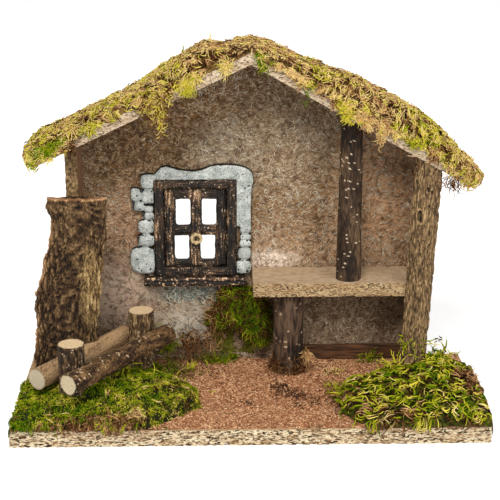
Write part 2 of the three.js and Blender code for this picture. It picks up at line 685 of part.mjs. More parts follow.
// Lying log whose ends are sawn at a slant, so that it is longest at its foot
function fenceRail(name, { start, length, height, diameter, across, seed }, material) {
  const geometry = loft(14, LOG_SIDES, (up, round) => {
    const angle = 2 * Math.PI * round;
    const radius = (diameter / 2) * barkShare(angle, up, seed);
    const [side, lift] = [radius * Math.cos(angle), radius * Math.sin(angle)];
    const slant = RAIL_SLANT * (lift + diameter / 2) * (1 - 2 * up);
    return new THREE.Vector3(up * length + slant, side, lift);
  });
  const rail = piece(name, geometry, material);
  const { x, y } = fencePoint(start, across);
  rail.position.set(x, y, floorTop + height);
  rail.rotation.z = fenceTurn;
  rail.updateMatrix();
  return rail;
}

const frontRail = {
  start: FRONT_RAIL_START, length: FRONT_RAIL_LENGTH, height: FRONT_RAIL_HEIGHT,
  diameter: FRONT_RAIL_DIAMETER, across: frontRailAcross, seed: 1.1,
};
const rearRail = {
  start: REAR_RAIL_START, length: REAR_RAIL_LENGTH, height: REAR_RAIL_HEIGHT,
  diameter: REAR_RAIL_DIAMETER, across: rearRailAcross, seed: 4.4,
};

// Room that a rail needs in the moss
function railCut(rail) {
  const wider = {
    ...rail, start: rail.start - MOSS_CLEARANCE, length: rail.length + 2 * MOSS_CLEARANCE,
    diameter: rail.diameter + 2 * MOSS_CLEARANCE,
  };
  const mesh = fenceRail("rail_cut", wider, moss);
  return toSolid(mesh.geometry.clone().applyMatrix4(mesh.matrix));
}

function roundedCut(x, y, radius, height) {
  return new THREE.CylinderGeometry(radius, radius, height, LOG_SIDES)
    .rotateX(Math.PI / 2)
    .translate(x, y, height / 2);
}

// Bed of moss round a place, ending just inside the board's edges and thinner towards them
function mossBed(x, { setback, ...bed }) {
  const y = setback - BASE_DEPTH / 2;
  const geometry = mound({ ...bed, rim: MOSS_RIM, rings: 9, sides: 36, lumps: LUMP_SHARE });
  geometry.translate(x, y, 0);
  const corner = new THREE.Vector3();
  const places = geometry.attributes.position;
  for (let i = 0; i < places.count; i++) {
    corner.fromBufferAttribute(places, i);
    const inward = Math.min(corner.y + BASE_DEPTH / 2, BASE_WIDTH / 2 - Math.abs(corner.x));
    const share = THREE.MathUtils.mapLinear(inward, 0, BED_SLOPE, BED_EDGE_SHARE, 1);
    places.setZ(i, corner.z * THREE.MathUtils.clamp(share, BED_EDGE_SHARE, 1));
  }
  geometry.translate(0, 0, floorTop);
  const board = block(BASE_WIDTH - 2 * BED_MARGIN, BASE_DEPTH - 2 * BED_MARGIN, RIDGE_HEIGHT, 0, 0, 0);
  return toSolid(geometry).intersect(toSolid(board));
}

function leftBed() {
  const cuts = [0, FENCE_SPACING].map((distance) => {
    const post = fencePoint(distance, 0);
    return toSolid(roundedCut(post.x, post.y, postRadius * LOG_SWELL + MOSS_CLEARANCE, RIDGE_HEIGHT));
  });
  const corkReach = Math.max(...CORK_OUTER_EDGE.map(([, reach]) => reach)) + MOSS_CLEARANCE;
  cuts.push(railCut(frontRail), railCut(rearRail), toSolid(block(
    2 * corkReach, BASE_DEPTH, RIDGE_HEIGHT,
    houseLeft, houseFront - CORK_THICKNESS - MOSS_CLEARANCE + BASE_DEPTH / 2, 0,
  )));
  const bed = cuts.reduce((rest, cut) => rest.subtract(cut), mossBed(houseLeft + LEFT_BED.inset, LEFT_BED));
  return piece("left_moss_bed", toGeometry(bed), moss);
}

// The right bed leaves room for the bark post and the panel behind it
function rightBed() {
  const room = BARK_POST_WIDTH / 2 * (1 + 2 * BARK_FURROW) + MOSS_CLEARANCE;
  const [left, right] = [houseRight - BARK_POST_FOOT_INSET - room, houseRight + room];
  const out = BARK_POST_THICKNESS * (1 + 2 * BARK_FURROW) + MOSS_CLEARANCE;
  const postCut = block(
    right - left, BASE_DEPTH, RIDGE_HEIGHT, (left + right) / 2, houseFront - out + BASE_DEPTH / 2, 0,
  );
  const bed = mossBed(houseRight - RIGHT_BED.inset, RIGHT_BED).subtract(toSolid(postCut));
  return piece("right_moss_bed", toGeometry(bed), moss);
}

// Clump on the wall under the sill's right end
function wallClump() {
  const { toLoft, belowSill, width, height, thickness, squareness } = WALL_CLUMP;
  const geometry = mound({
    width, depth: height, height: thickness, squareness, rim: MOSS_RIM,
    rings: 6, sides: 28, lumps: LUMP_SHARE, seed: 5.2,
  });
  const z = WINDOW_FOOT - SILL_HEIGHT - belowSill - height / 2;
  geometry.rotateX(Math.PI / 2).translate(loftLeft - toLoft, wallFront - GLUE_GAP, z);
  return piece("wall_moss", geometry, moss);
}

// Mat on one side of the roof: rings run from the ridge down to the eave
function roofMat(name, side, slope, run, profile, seed) {
  const length = run / Math.cos(slope) - GLUE_GAP;
  const top = RIDGE_HEIGHT + ROOF_THICKNESS / Math.cos(slope);
  const depth = wallBack - roofFront;
  const geometry = loft(26, MAT_SECTION.length, (up, round) => {
    const step = Math.round(round * MAT_SECTION.length);
    const [back, lift] = MAT_SECTION.at(side > 0 ? step : -step);
    const bump = 1 + MAT_LUMPS * waves(7 * up + 4 * back, 6 * up, seed);
    const out = GLUE_GAP + lift * bump * valueAt(profile, up);
    const down = THREE.MathUtils.lerp(GLUE_GAP - out * Math.tan(slope), length, up);
    return new THREE.Vector3(
      houseMiddle + side * (down * Math.cos(slope) + out * Math.sin(slope)),
      roofFront + back * depth,
      top - down * Math.sin(slope) + out * Math.cos(slope),
    );
  });
  return piece(name, geometry, moss);
}

const stable = new THREE.Group();
stable.add(
  baseBoard(),
  sandFloor(),
  backWall(),
  sidePanel("left_side_panel", houseLeft),
  sidePanel("right_side_panel", innerRight),
  roofBoard("left_roof_board", -1, leftSlope, leftRun),
  roofBoard("right_roof_board", 1, rightSlope, rightRun),
  loftFloor(),
  roofTrunk(),
  loftTrunk(),
  barkPost(),
  corkSlab(),
  wallBatten(),
);

const castWindow = new THREE.Group();
castWindow.add(windowFrame(), windowSash(), windowSill(), ringHandle(), windowSurround());
stable.add(castWindow);

const fence = new THREE.Group();
fence.add(
  fencePost("front_fence_post", 0, 0.9),
  fencePost("rear_fence_post", FENCE_SPACING, 3.7),
  fenceRail("front_fence_rail", frontRail, darkBark),
  fenceRail("rear_fence_rail", rearRail, greyBark),
);
stable.add(fence);

stable.add(
  leftBed(),
  rightBed(),
  wallClump(),
  roofMat("left_roof_moss", -1, leftSlope, leftRun, LEFT_MAT, 0.5),
  roofMat("right_roof_moss", 1, rightSlope, rightRun, RIGHT_MAT, 1.9),
);

export default stable;
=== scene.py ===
import math

import bpy
import numpy as np
from mathutils import Matrix, Vector


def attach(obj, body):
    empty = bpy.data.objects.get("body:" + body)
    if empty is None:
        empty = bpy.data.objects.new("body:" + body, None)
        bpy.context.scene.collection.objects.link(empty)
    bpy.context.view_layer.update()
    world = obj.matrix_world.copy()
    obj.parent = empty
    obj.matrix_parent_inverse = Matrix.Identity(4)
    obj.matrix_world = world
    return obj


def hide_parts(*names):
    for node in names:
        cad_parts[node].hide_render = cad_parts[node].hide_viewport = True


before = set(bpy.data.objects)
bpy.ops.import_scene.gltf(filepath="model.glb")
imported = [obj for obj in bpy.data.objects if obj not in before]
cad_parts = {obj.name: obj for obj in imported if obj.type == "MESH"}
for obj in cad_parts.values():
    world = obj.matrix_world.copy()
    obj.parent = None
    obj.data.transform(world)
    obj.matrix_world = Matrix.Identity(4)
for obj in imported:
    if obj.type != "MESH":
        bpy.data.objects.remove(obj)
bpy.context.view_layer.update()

# Sizes and places below are in millimetres, and MM turns them into the frame's metres.
MM = 0.001
GAP = 0.3

# Camera: the photograph's view. Its picture is 500 pixels wide and high.
PICTURE_PX = 500
FOCAL_PX = 1300
SENSOR = 36.0
CAMERA_AT = (-32.5, -1187.1, 550.2)
CAMERA_YAW = math.radians(1.607)
CAMERA_PITCH = math.radians(18.074)
CAMERA_ROLL = math.radians(0.123)


def linear(code, share=1.0):
    """Linear colour of a hexadecimal screen colour, darkened to a share of it."""
    screen = np.array([int(code[i:i + 2], 16) for i in (0, 2, 4)]) / 255
    value = np.where(screen <= 0.04045, screen / 12.92, ((screen + 0.055) / 1.055) ** 2.4)
    return (*(value * share).tolist(), 1.0)


def xyz(x, y, z):
    """Points from their coordinates. Any of the three may be one number for all points."""
    return np.stack(np.broadcast_arrays(x, y, z), -1)


def read(table, place, left=None):
    """A value from a table of places and values, on straight lines between them."""
    return np.interp(place, *np.transpose(table), left=left)


def placed(name, data):
    """A new object in the scene."""
    made = bpy.data.objects.new(name, data)
    bpy.context.scene.collection.objects.link(made)
    return made


# Reading the frame


def corners(node):
    """All corner points of a CAD node."""
    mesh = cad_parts[node].data
    found = np.empty(len(mesh.vertices) * 3)
    mesh.vertices.foreach_get("co", found)
    return found.reshape(-1, 3) / MM


def box(node):
    """Lowest and highest corner of a CAD node."""
    found = corners(node)
    return found.min(0), found.max(0)


def outline(node):
    """The four X and Z corners of a board that runs straight back, anticlockwise from its low left one."""
    flat = np.unique(np.round(corners(node)[:, [0, 2]], 2), axis=0)
    left, right = (pair[np.argsort(pair[:, 1])] for pair in (flat[:2], flat[2:]))
    return np.array([left[0], right[0], right[1], left[1]])


def net(node, voxel, smoothing):
    """Points, quads and normals of a copy of a CAD node with an even net."""
    copy = placed("net_copy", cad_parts[node].data.copy())
    remesh = copy.modifiers.new("net", "REMESH")
    remesh.mode = "VOXEL"
    remesh.voxel_size = voxel * MM
    soft = copy.modifiers.new("soft", "SMOOTH")
    soft.iterations = smoothing
    soft.factor = 0.5
    evaluated = copy.evaluated_get(bpy.context.evaluated_depsgraph_get())
    mesh = bpy.data.meshes.new_from_object(evaluated)
    points, normals = np.empty(len(mesh.vertices) * 3), np.empty(len(mesh.vertices) * 3)
    mesh.vertices.foreach_get("co", points)
    mesh.vertices.foreach_get("normal", normals)
    quads = np.empty(len(mesh.loops), np.int32)
    mesh.loops.foreach_get("vertex_index", quads)
    bpy.data.objects.remove(copy)
    bpy.data.meshes.remove(mesh)
    return points.reshape(-1, 3) / MM, quads.reshape(-1, 4), normals.reshape(-1, 3)


roof_left, roof_right = outline("left_roof_board"), outline("right_roof_board")
roof_front, roof_back = (corner[1] for corner in box("left_roof_board"))
ridge_x = roof_left[1][0]
wall_front = box("back_wall")[0][1]
house_front = box("left_side_panel")[0][1]
floor_top = box("sand_floor")[1][2]
loft_low = box("loft_floor")[0]
base_low, base_high = box("base_board")
frame_low, frame_high = box("window_frame")
sash_low, sash_high = box("window_sash")
window_middle = ((frame_low + frame_high) / 2)[[0, 2]]


def roof_under(x):
    """Height of the roof boards' underside over a place across the house."""
    left = np.interp(x, *roof_left[:2].T)
    return np.where(x < ridge_x, left, np.interp(x, *roof_right[:2].T))


def roof_top(x):
    """Height of the roof boards' top over a place across the house."""
    left = np.interp(x, *roof_left[[3, 2]].T)
    return np.where(x < ridge_x, left, np.interp(x, *roof_right[[3, 2]].T))


# Shapes as arrays of points and faces

# How unevenly a strand runs, and how much thinner its tip is than its root
STRAND_SHAKE = 0.15
STRAND_TAPER = 0.75


def unit(vectors):
    return vectors / np.maximum(np.linalg.norm(vectors, axis=-1, keepdims=True), 1e-9)


def lattice(cell, seed):
    """A random value from -1 to 1 for each whole-number cell, the same on each run."""
    mixed = cell @ np.array([73856093, 19349663, 83492791]) + seed * 2654435761
    mixed = ((mixed ^ (mixed >> 15)) * 2246822519) & 0xFFFFFFFF
    mixed = ((mixed ^ (mixed >> 13)) * 3266489917) & 0xFFFFFFFF
    return ((mixed ^ (mixed >> 16)) & 0xFFFF) / 32767.5 - 1.0


def noise(points, size, seed=0):
    """Smooth noise from -1 to 1 with lumps about size wide; size may differ along X, Y and Z."""
    at = points / np.asarray(size, float)
    cell = np.floor(at).astype(np.int64)
    blend = at - cell
    blend = blend * blend * (3 - 2 * blend)
    total = 0.0
    for corner in np.ndindex(2, 2, 2):
        weight = np.prod(np.where(np.array(corner) == 1, blend, 1 - blend), axis=-1)
        total = total + weight * lattice(cell + np.array(corner), seed)
    return total


def rough(points, size, seed=0, octaves=3):
    """Noise with finer and finer lumps added, from about -1 to 1."""
    layers = [noise(points, np.asarray(size, float) / 2**i, seed + i) / 2**i for i in range(octaves)]
    return sum(layers) / (2 - 2 ** (1 - octaves))


def cracks(points, size, seed=0):
    """0 on the lines between random cells about size wide, rising to about 1 inside them."""
    at = points / np.asarray(size, float)
    cell = np.floor(at).astype(np.int64)
    nearest = np.full(at.shape[:-1], 9.0)
    second = nearest.copy()
    for step in np.ndindex(3, 3, 3):
        other = cell + np.array(step) - 1
        centre = np.stack([lattice(other, seed + i) for i in range(3)], -1) * 0.5 + 0.5
        away = np.linalg.norm(other + centre - at, axis=-1)
        second = np.minimum(second, np.maximum(nearest, away))
        nearest = np.minimum(nearest, away)
    return np.clip((second - nearest) * 1.6, 0, 1)


def soft_spot(points, middle, reach):
    """1 at an XZ middle, falling to 0 at its reach along X and Z."""
    away = ((points[..., 0] - middle[0]) / reach[0]) ** 2 + ((points[..., 2] - middle[1]) / reach[1]) ** 2
    return np.clip(1 - away, 0, 1)


def grid_faces(rows, columns, closed=False):
    """Quads between the points of a grid that is listed row by row."""
    index = np.arange(rows * columns).reshape(rows, columns)
    if closed:
        index = np.hstack([index, index[:, :1]])
    sides = [index[:-1, :-1], index[:-1, 1:], index[1:, 1:], index[1:, :-1]]
    return np.stack(sides, -1).reshape(-1, 4)


def box_skin(divisions):
    """Shares from 0 to 1 on a box's surface, the quads between them and each quad's axis."""
    points, faces, axes, total = [], [], [], 0
    for axis in range(3):
        first, second = (axis + 1) % 3, (axis + 2) % 3
        rows, columns = divisions[first] + 1, divisions[second] + 1
        for end in (0, divisions[axis]):
            grid = np.zeros((rows, columns, 3), np.int64)
            grid[..., axis] = end
            grid[..., first] = np.arange(rows)[:, None]
            grid[..., second] = np.arange(columns)
            quads = grid_faces(rows, columns) + total
            faces.append(quads[:, ::-1] if end else quads)
            points.append(grid.reshape(-1, 3))
            axes.append(np.full(len(quads), axis))
            total += rows * columns
    welded, place = np.unique(np.concatenate(points), axis=0, return_inverse=True)
    return welded / np.array(divisions), place.ravel()[np.concatenate(faces)], np.concatenate(axes)


def arcs(dice, roots, headings, lengths, bend, joints, droop=0.0):
    """Paths that set off along their headings and bend on by about bend radians, in any direction."""
    heading = unit(np.asarray(headings, float))
    side = unit(np.cross(heading, dice.normal(0, 1, heading.shape)))
    share = np.linspace(0, 1, joints + 1)[1:]
    turn = (dice.normal(0, bend, (len(heading), 1)) * share)[..., None]
    steps = np.cos(turn) * heading[:, None] + np.sin(turn) * side[:, None]
    steps += dice.normal(0, STRAND_SHAKE, steps.shape)
    steps[..., 2] -= droop * share
    steps = unit(steps) * (np.asarray(lengths) / joints)[:, None, None]
    paths = np.concatenate([np.zeros((len(heading), 1, 3)), np.cumsum(steps, 1)], 1)
    return np.asarray(roots, float)[:, None] + paths


def tubes(dice, paths, radius, leaf=False, flat=1.0):
    """Closed three-sided strands along paths, tapered or like a leaf: points, faces and shares along."""
    count, rings = paths.shape[:2]
    turn = unit(np.gradient(paths, axis=1))
    side = unit(np.cross(turn, unit(dice.normal(0, 1, (count, 1, 3)))))
    other = np.cross(turn, side) * flat
    along = np.linspace(0, 1, rings)
    profile = np.sin(math.pi * (0.08 + 0.88 * along)) if leaf else 1 - STRAND_TAPER * along**2
    thick = (np.ones(count) * radius)[:, None, None] * profile[:, None]
    corners_at = np.arange(3) * 2 * math.pi / 3
    around = [paths + thick * (math.cos(a) * side + math.sin(a) * other) for a in corners_at]
    points = np.stack(around, 2).reshape(-1, 3)
    first = (np.arange(count) * rings * 3)[:, None]
    sides = (grid_faces(rings, 3, closed=True)[None] + first[..., None]).reshape(-1, 4)
    ends = np.concatenate([first + [2, 1, 0], first + (rings - 1) * 3 + [0, 1, 2]])
    return points, [sides, ends], np.tile(np.repeat(along, 3), count)


def strands(dice, roots, headings, lengths, radius, joints=3, bend=0.6, droop=0.0, leaf=False, flat=1.0):
    """Strands that grow from their roots."""
    return tubes(dice, arcs(dice, roots, headings, lengths, bend, joints, droop), radius, leaf, flat)


class Sheet:
    """Heights over a flat rectangle, read from scattered points, so that strands can lie on them."""

    def __init__(self, places, heights, cell=2.5):
        self.cell, self.low = cell, places.min(0)
        at = np.round((places - self.low) / cell).astype(int)
        self.heights = np.zeros(at.max(0) + 1)
        np.maximum.at(self.heights, tuple(at.T), heights)
        wide = np.pad(self.heights, 1, mode="edge")
        rows, columns = self.heights.shape
        self.heights = sum(wide[i:i + rows, j:j + columns] for i, j in np.ndindex(3, 3)) / 9

    def at(self, places):
        at = np.clip((places - self.low) / self.cell, 0, np.array(self.heights.shape) - 1.001)
        cell = at.astype(int)
        (i, j), (x, y) = np.moveaxis(cell, -1, 0), np.moveaxis(at - cell, -1, 0)
        low = self.heights[i, j] * (1 - y) + self.heights[i, j + 1] * y
        return low * (1 - x) + x * (self.heights[i + 1, j] * (1 - y) + self.heights[i + 1, j + 1] * y)


class Heap:
    """Many small closed shapes that become one piece, each with a tint from 0 to 1."""

    def __init__(self):
        self.points, self.faces, self.values, self.total = [], {3: [], 4: []}, [], 0

    def add(self, shape, tints):
        points, faces, along = shape
        self.points.append(points)
        for group in faces:
            self.faces[group.shape[1]].append(group + self.total)
        tint = np.repeat(np.clip(tints, 0, 1), len(points) // len(tints))
        self.values.append(np.stack([tint, along], -1))
        self.total += len(points)

    def piece(self, name, look, slot):
        values = np.concatenate(self.values)
        faces = [np.concatenate(groups) for groups in self.faces.values()]
        by_name = {"tint": values[:, 0], "along": values[:, 1]}
        made = piece(name, np.concatenate(self.points), faces, [look], values=by_name)
        # A map laid out by colour: shapes of one tint share one place on it.
        mapped = made.data.uv_layers.new(name="OFBake")
        corner = np.empty(len(made.data.loops), np.int32)
        made.data.loops.foreach_get("vertex_index", corner)
        mapped.data.foreach_set("uv", (0.02 + 0.96 * values)[corner].astype(np.float32).ravel())


def piece(name, points, faces, looks, replaces=(), values=None, face_looks=None, sharp=None):
    """A mesh that rides on the stable, with values by name for each of its points."""
    mesh = bpy.data.meshes.new(name)
    corner = np.concatenate([group.ravel() for group in faces]).astype(np.int32)
    sizes = np.concatenate([np.full(len(group), group.shape[1]) for group in faces])
    mesh.vertices.add(len(points))
    mesh.vertices.foreach_set("co", (points * MM).astype(np.float32).ravel())
    mesh.loops.add(len(corner))
    mesh.loops.foreach_set("vertex_index", corner)
    mesh.polygons.add(len(sizes))
    mesh.polygons.foreach_set("loop_start", (np.cumsum(sizes) - sizes).astype(np.int32))
    mesh.update(calc_edges=True)
    mesh.shade_smooth()
    if sharp:
        mesh.set_sharp_from_angle(angle=math.radians(sharp))
    for key, value in (values or {}).items():
        mesh.attributes.new(key, "FLOAT", "POINT").data.foreach_set("value", value.astype(np.float32).ravel())
    for look in looks:
        mesh.materials.append(look.material)
    if face_looks is not None:
        mesh.polygons.foreach_set("material_index", face_looks.astype(np.int32))
    made = placed(name, mesh)
    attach(made, "root")
    if replaces:
        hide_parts(*replaces)
    return made


def rings_piece(name, points, look, node, values, sharp):
    """Rings of points closed by a face at each end, with values for the look of their bark."""
    rows, columns = points.shape[:2]
    flat = np.arange(rows * columns).reshape(rows, columns)
    faces = [grid_faces(rows, columns, closed=True), flat[:1, ::-1], flat[-1:]]
    none = np.zeros((rows, columns))
    values = {"spot": none, "cut": none, "ring": none, **values}
    piece(name, points.reshape(-1, 3), faces, [look], [node], values=values, sharp=sharp)


# Materials


class Look:
    """A material whose nodes are added by short calls."""

    def __init__(self, name, roughness):
        self.material = bpy.data.materials.new(name)
        self.material.use_nodes = True
        self.tree = self.material.node_tree
        self.shader = self.tree.nodes["Principled BSDF"]
        self.shader.inputs["Roughness"].default_value = roughness
        self.shader.inputs["Specular IOR Level"].default_value = 0.25
        self.place = self.node("TexCoord").outputs["Object"]
        self.normal = None

    def node(self, kind, inputs=None, **settings):
        made = self.tree.nodes.new("ShaderNode" + kind)
        for key, value in settings.items():
            setattr(made, key, value)
        for key, value in (inputs or {}).items():
            self.feed(made.inputs[key], value)
        return made

    def feed(self, socket, value):
        if isinstance(value, bpy.types.NodeSocket):
            self.tree.links.new(value, socket)
        else:
            socket.default_value = linear(value) if isinstance(value, str) else value

    def scaled(self, sizes, place=None):
        """The place in steps of these sizes along X, Y and Z."""
        sizes = sizes * 3 if len(sizes) == 1 else sizes
        scale = tuple(1 / (MM * size) for size in sizes)
        return self.node("Mapping", {"Vector": place or self.place, "Scale": scale}).outputs["Vector"]

    def noise(self, *sizes, detail=3.0, place=None):
        inputs = {"Vector": self.scaled(sizes, place), "Scale": 1.0, "Detail": detail}
        return self.node("TexNoise", inputs).outputs["Fac"]

    def cells(self, *sizes, place=None):
        """Distance to the nearest of many random points, and a random value for each of them."""
        made = self.node("TexVoronoi", {"Vector": self.scaled(sizes, place), "Scale": 1.0})
        value = self.node("SeparateColor", {"Color": made.outputs["Color"]}).outputs["Red"]
        return made.outputs["Distance"], value

    def warped(self, amount, size):
        """The place moved about by up to this amount, for patterns that swirl."""
        inputs = {"Vector": self.scaled((size,)), "Scale": 1.0, "Detail": 2.0}
        drift = self.node("TexNoise", inputs).outputs["Color"]
        scale = {0: drift, "Scale": 2 * amount * MM}
        moved = self.node("VectorMath", scale, operation="SCALE").outputs["Vector"]
        return self.node("VectorMath", {0: self.place, 1: moved}, operation="ADD").outputs["Vector"]

    def spot(self, middle, reach):
        """1 at an XZ middle in millimetres, falling to 0 at its reach along X and Z."""
        inputs = {
            "Vector": self.place,
            "Location": (-middle[0] / reach[0], 0.0, -middle[1] / reach[1]),
            "Scale": (1 / (reach[0] * MM), 0.0, 1 / (reach[1] * MM)),
        }
        moved = self.node("Mapping", inputs).outputs["Vector"]
        return self.node("TexGradient", {"Vector": moved}, gradient_type="SPHERICAL").outputs["Fac"]

    def value(self, name):
        return self.node("Attribute", attribute_name=name).outputs["Fac"]

    def ramp(self, factor, *stops):
        made = self.node("ValToRGB", {"Fac": factor})
        elements = made.color_ramp.elements
        elements.remove(elements[1])
        elements[0].position = stops[0][0]
        for position, _ in stops[1:]:
            elements.new(position)
        for element, (_, colour) in zip(elements, stops):
            element.color = linear(colour) if isinstance(colour, str) else colour
        return made.outputs["Color"]

    def mask(self, factor, start, end):
        """factor brought to 0 at start and 1 at end."""
        inputs = {"Value": factor, "From Min": start, "From Max": end}
        return self.node("MapRange", inputs).outputs["Result"]

    def sum(self, first, second):
        return self.node("Math", {0: first, 1: second}, operation="ADD").outputs["Value"]

    def times(self, first, second):
        return self.node("Math", {0: first, 1: second}, operation="MULTIPLY").outputs["Value"]

    def mix(self, factor, first, second, blend="MIX"):
        made = self.node("Mix", data_type="RGBA", blend_type=blend)
        for socket, value in zip((made.inputs[0], made.inputs[6], made.inputs[7]), (factor, first, second)):
            self.feed(socket, value)
        return made.outputs[2]

    def bump(self, height, depth):
        inputs = {"Height": height, "Distance": depth * MM, "Strength": 1.0}
        if self.normal:
            inputs["Normal"] = self.normal
        self.normal = self.node("Bump", inputs).outputs["Normal"]
        self.feed(self.shader.inputs["Normal"], self.normal)

    def colour(self, value):
        self.feed(self.shader.inputs["Base Color"], value)
        return self


def chipboard_edge(name, pale, tan, dark, pits=(0.38, 0.47), size=1.0):
    """Cut edge of chipboard: long chips, some of them tan or dark, with pits between painted near black as
    painted shade.
    """
    look = Look(name, 0.95)
    away, chip = look.cells(5.5 * size, 3.0 * size, 1.5 * size)
    fine_away, fine_chip = look.cells(2.2 * size, 1.6 * size, 0.9 * size)
    mixed = look.sum(look.times(chip, 0.55), look.times(fine_chip, 0.45))
    colour = look.ramp(mixed, (0.1, dark), (0.26, tan), (0.42, pale), (0.7, pale), (0.92, tan))
    pits = look.mask(look.noise(3.4 * size, 2.4 * size, 1.2 * size, detail=5), *pits)
    # Pits turn near black: painted shade in the gaps between chips.
    shade = look.mix(pits, linear(dark, 0.4), colour)
    stain = look.mask(look.noise(22, 22, 5, detail=4), 0.42, 0.68)
    look.colour(look.mix(look.times(stain, 0.55), shade, tan))
    look.bump(look.sum(look.times(away, 0.6), fine_away), 0.5)
    return look


def chipboard_face(name, pale, dark):
    """Sanded face of chipboard: close in tone, with faint chips."""
    look = Look(name, 0.85)
    away, chip = look.cells(5.0, 4.0, 5.0)
    speck = look.mask(look.noise(1.2, detail=4), 0.3, 0.42)
    blend = look.sum(look.times(chip, 0.5), look.times(look.noise(30), 0.5))
    colour = look.ramp(blend, (0.2, dark), (0.8, pale))
    look.colour(look.mix(speck, dark, colour))
    look.bump(look.noise(0.8, detail=3), 0.1)
    return look


# Colours of the wall: its ground by height, darker towards the top partly as painted shade under the roof,
# and soft patches as (middle, reach, colour, strength)
WALL_GROUND_AND_SHADE = [(0.0, "7a6454"), (0.3, "846246"), (0.6, "7a5a36"), (1.0, "54381b")]
WALL_PATCHES = [
    ((-20, 240), (55, 42), "80786a", 0.6),
    ((-54, 90), (66, 15), "4e6260", 1.0),
    ((-55, 55), (50, 28), "c4bcae", 0.9),
    ((-128, 92), (46, 60), "bea494", 0.9),
    ((-125, 165), (34, 60), "9c7458", 0.7),
    ((35, 245), (75, 70), "7c6c58", 0.6),
    ((130, 200), (56, 100), "b0845e", 1.0),
    ((70, 135), (100, 30), "b08c6a", 0.7),
    ((26, 126), (34, 13), "ecded0", 0.95),
    # Painted shade: the darker patch under the loft.
    ((95, 65), (85, 40), "6c5844", 0.9),
]


def wall_look():
    """Brown painted ground with swirling fibres, cooler and paler in patches, darker with painted shade under
    the roof and under the loft, and raw board behind.
    """
    look = Look("wall_ground", 0.95)
    low, high = box("back_wall")
    place = look.node("SeparateXYZ", {"Vector": look.place}).outputs
    # The ramp by height darkens towards the top, partly as painted shade under the roof.
    colour = look.ramp(look.mask(place["Z"], low[2] * MM, high[2] * MM), *WALL_GROUND_AND_SHADE)
    for middle, reach, patch, strength in WALL_PATCHES:
        factor = look.times(look.mask(look.spot(middle, reach), 0.0, 0.6), strength)
        colour = look.mix(factor, colour, patch)
    swirl = look.warped(9, 18)
    streak = look.noise(3.4, 3.4, 1.1, detail=5, place=swirl)
    colour = look.mix(look.mask(streak, 0.46, 0.7), colour, "baaa92")
    blot = look.mask(look.noise(6, detail=5, place=swirl), 0.52, 0.36)
    colour = look.mix(look.times(blot, 0.7), colour, "3e2818")
    chips = look.cells(4, 4, 4)[1]
    raw = look.ramp(look.sum(look.times(chips, 0.5), look.times(look.noise(2.0), 0.5)),
                    (0.25, "846848"), (0.6, "b29670"), (0.8, "c4ac88"))
    behind = look.mask(place["Y"], (wall_front + 0.4) * MM, (wall_front + 0.6) * MM)
    look.colour(look.mix(behind, colour, raw))
    look.bump(streak, 0.5)
    return look


def tint_look(name, roughness, *stops):
    """Colour by tint alone."""
    look = Look(name, roughness)
    return look.colour(look.ramp(look.value("tint"), *stops))


def sand_look():
    look = Look("red_sand", 1.0)
    away, grain = look.cells(1.25)
    colour = look.ramp(grain, (0.0, "3a2014"), (0.25, "8c5838"), (0.7, "c48a60"), (1.0, "ffdcb2"))
    worn = look.mask(look.noise(26, detail=4), 0.42, 0.62)
    look.colour(look.mix(look.times(worn, 0.3), colour, "825236"))
    look.bump(away, 0.5)
    return look


def bark_look(name, deep, dark, light, spot, wood, grain=(1.3, 1.3, 7.0)):
    """Bark by its relief, darkest in its furrows partly as painted shade, with pale spots and pale wood where
    it is cut.
    """
    look = Look(name, 0.85)
    streak = look.noise(*grain, detail=5)
    relief = look.sum(look.times(look.value("relief"), 0.5), look.times(streak, 0.55))
    # Low relief turns near black: partly the bark's darker furrows, partly painted shade in them.
    bark = look.ramp(relief, (0.36, deep), (0.5, dark), (0.67, light))
    bark = look.mix(look.value("spot"), bark, spot)
    rings = look.node("Math", {0: look.value("ring")}, operation="SINE").outputs["Value"]
    worn = look.mask(look.sum(look.times(rings, 0.3), look.noise(1.6, detail=5)), 0.4, 0.75)
    pale = look.mix(worn, linear(wood, 0.62), wood)
    look.colour(look.mix(look.value("cut"), bark, pale))
    look.bump(streak, 0.5)
    look.bump(look.noise(0.8, detail=3), 0.2)
    return look


def cork_look():
    """Cork bark: black furrows, partly painted shade, brown layers, olive-tan crests with pale painted
    highlights, and an orange-brown rim.
    """
    look = Look("cork_bark", 0.95)
    flakes = look.noise(1.5, 1.5, 3.0, detail=6, place=look.warped(4, 12))
    grooves = look.noise(1.0, 1.0, 4.5, detail=5)
    fine = look.sum(look.times(flakes, 0.55), look.times(grooves, 0.45))
    blend = look.sum(look.times(look.value("relief"), 0.42), look.times(fine, 0.62))
    # Each ramp runs from near black in the furrows, partly painted shade, to a pale painted highlight on the
    # crests.
    bark = look.ramp(blend, (0.4, "0c0805"), (0.49, "302114"), (0.58, "5a452e"), (0.68, "927854"),
                     (0.78, "d8c298"))
    tan = look.ramp(blend, (0.4, "120c07"), (0.48, "4a3822"), (0.57, "866e48"), (0.68, "b2986c"),
                    (0.78, "decca4"))
    rim = look.ramp(blend, (0.4, "22140c"), (0.52, "745034"), (0.64, "b28a64"), (0.76, "e6cca8"))
    colour = look.mix(look.value("tan"), bark, tan)
    look.colour(look.mix(look.value("rim"), colour, rim))
    look.bump(flakes, 0.9)
    look.bump(grooves, 0.5)
    return look


def cast_timber_look(name, warm):
    """Cast wood grain: near-black stain, rubbed warm brown on the ridges and whitish on a few specks."""
    look = Look(name, 0.6)
    fine = look.noise(1.0, detail=6)
    relief = look.sum(look.times(look.value("relief"), 0.6), look.times(fine, 0.5))
    stain = look.ramp(relief, (0.43, "0b0908"), (0.56, "221a14"), (0.66, warm), (0.79, "be9c78"))
    speck = look.sum(look.noise(1.5, 1.5, 2.0, detail=2), look.times(look.value("relief"), 0.25))
    specks = look.mask(speck, 0.77, 0.83)
    look.colour(look.mix(specks, stain, "cebca4"))
    look.bump(fine, 0.3)
    return look


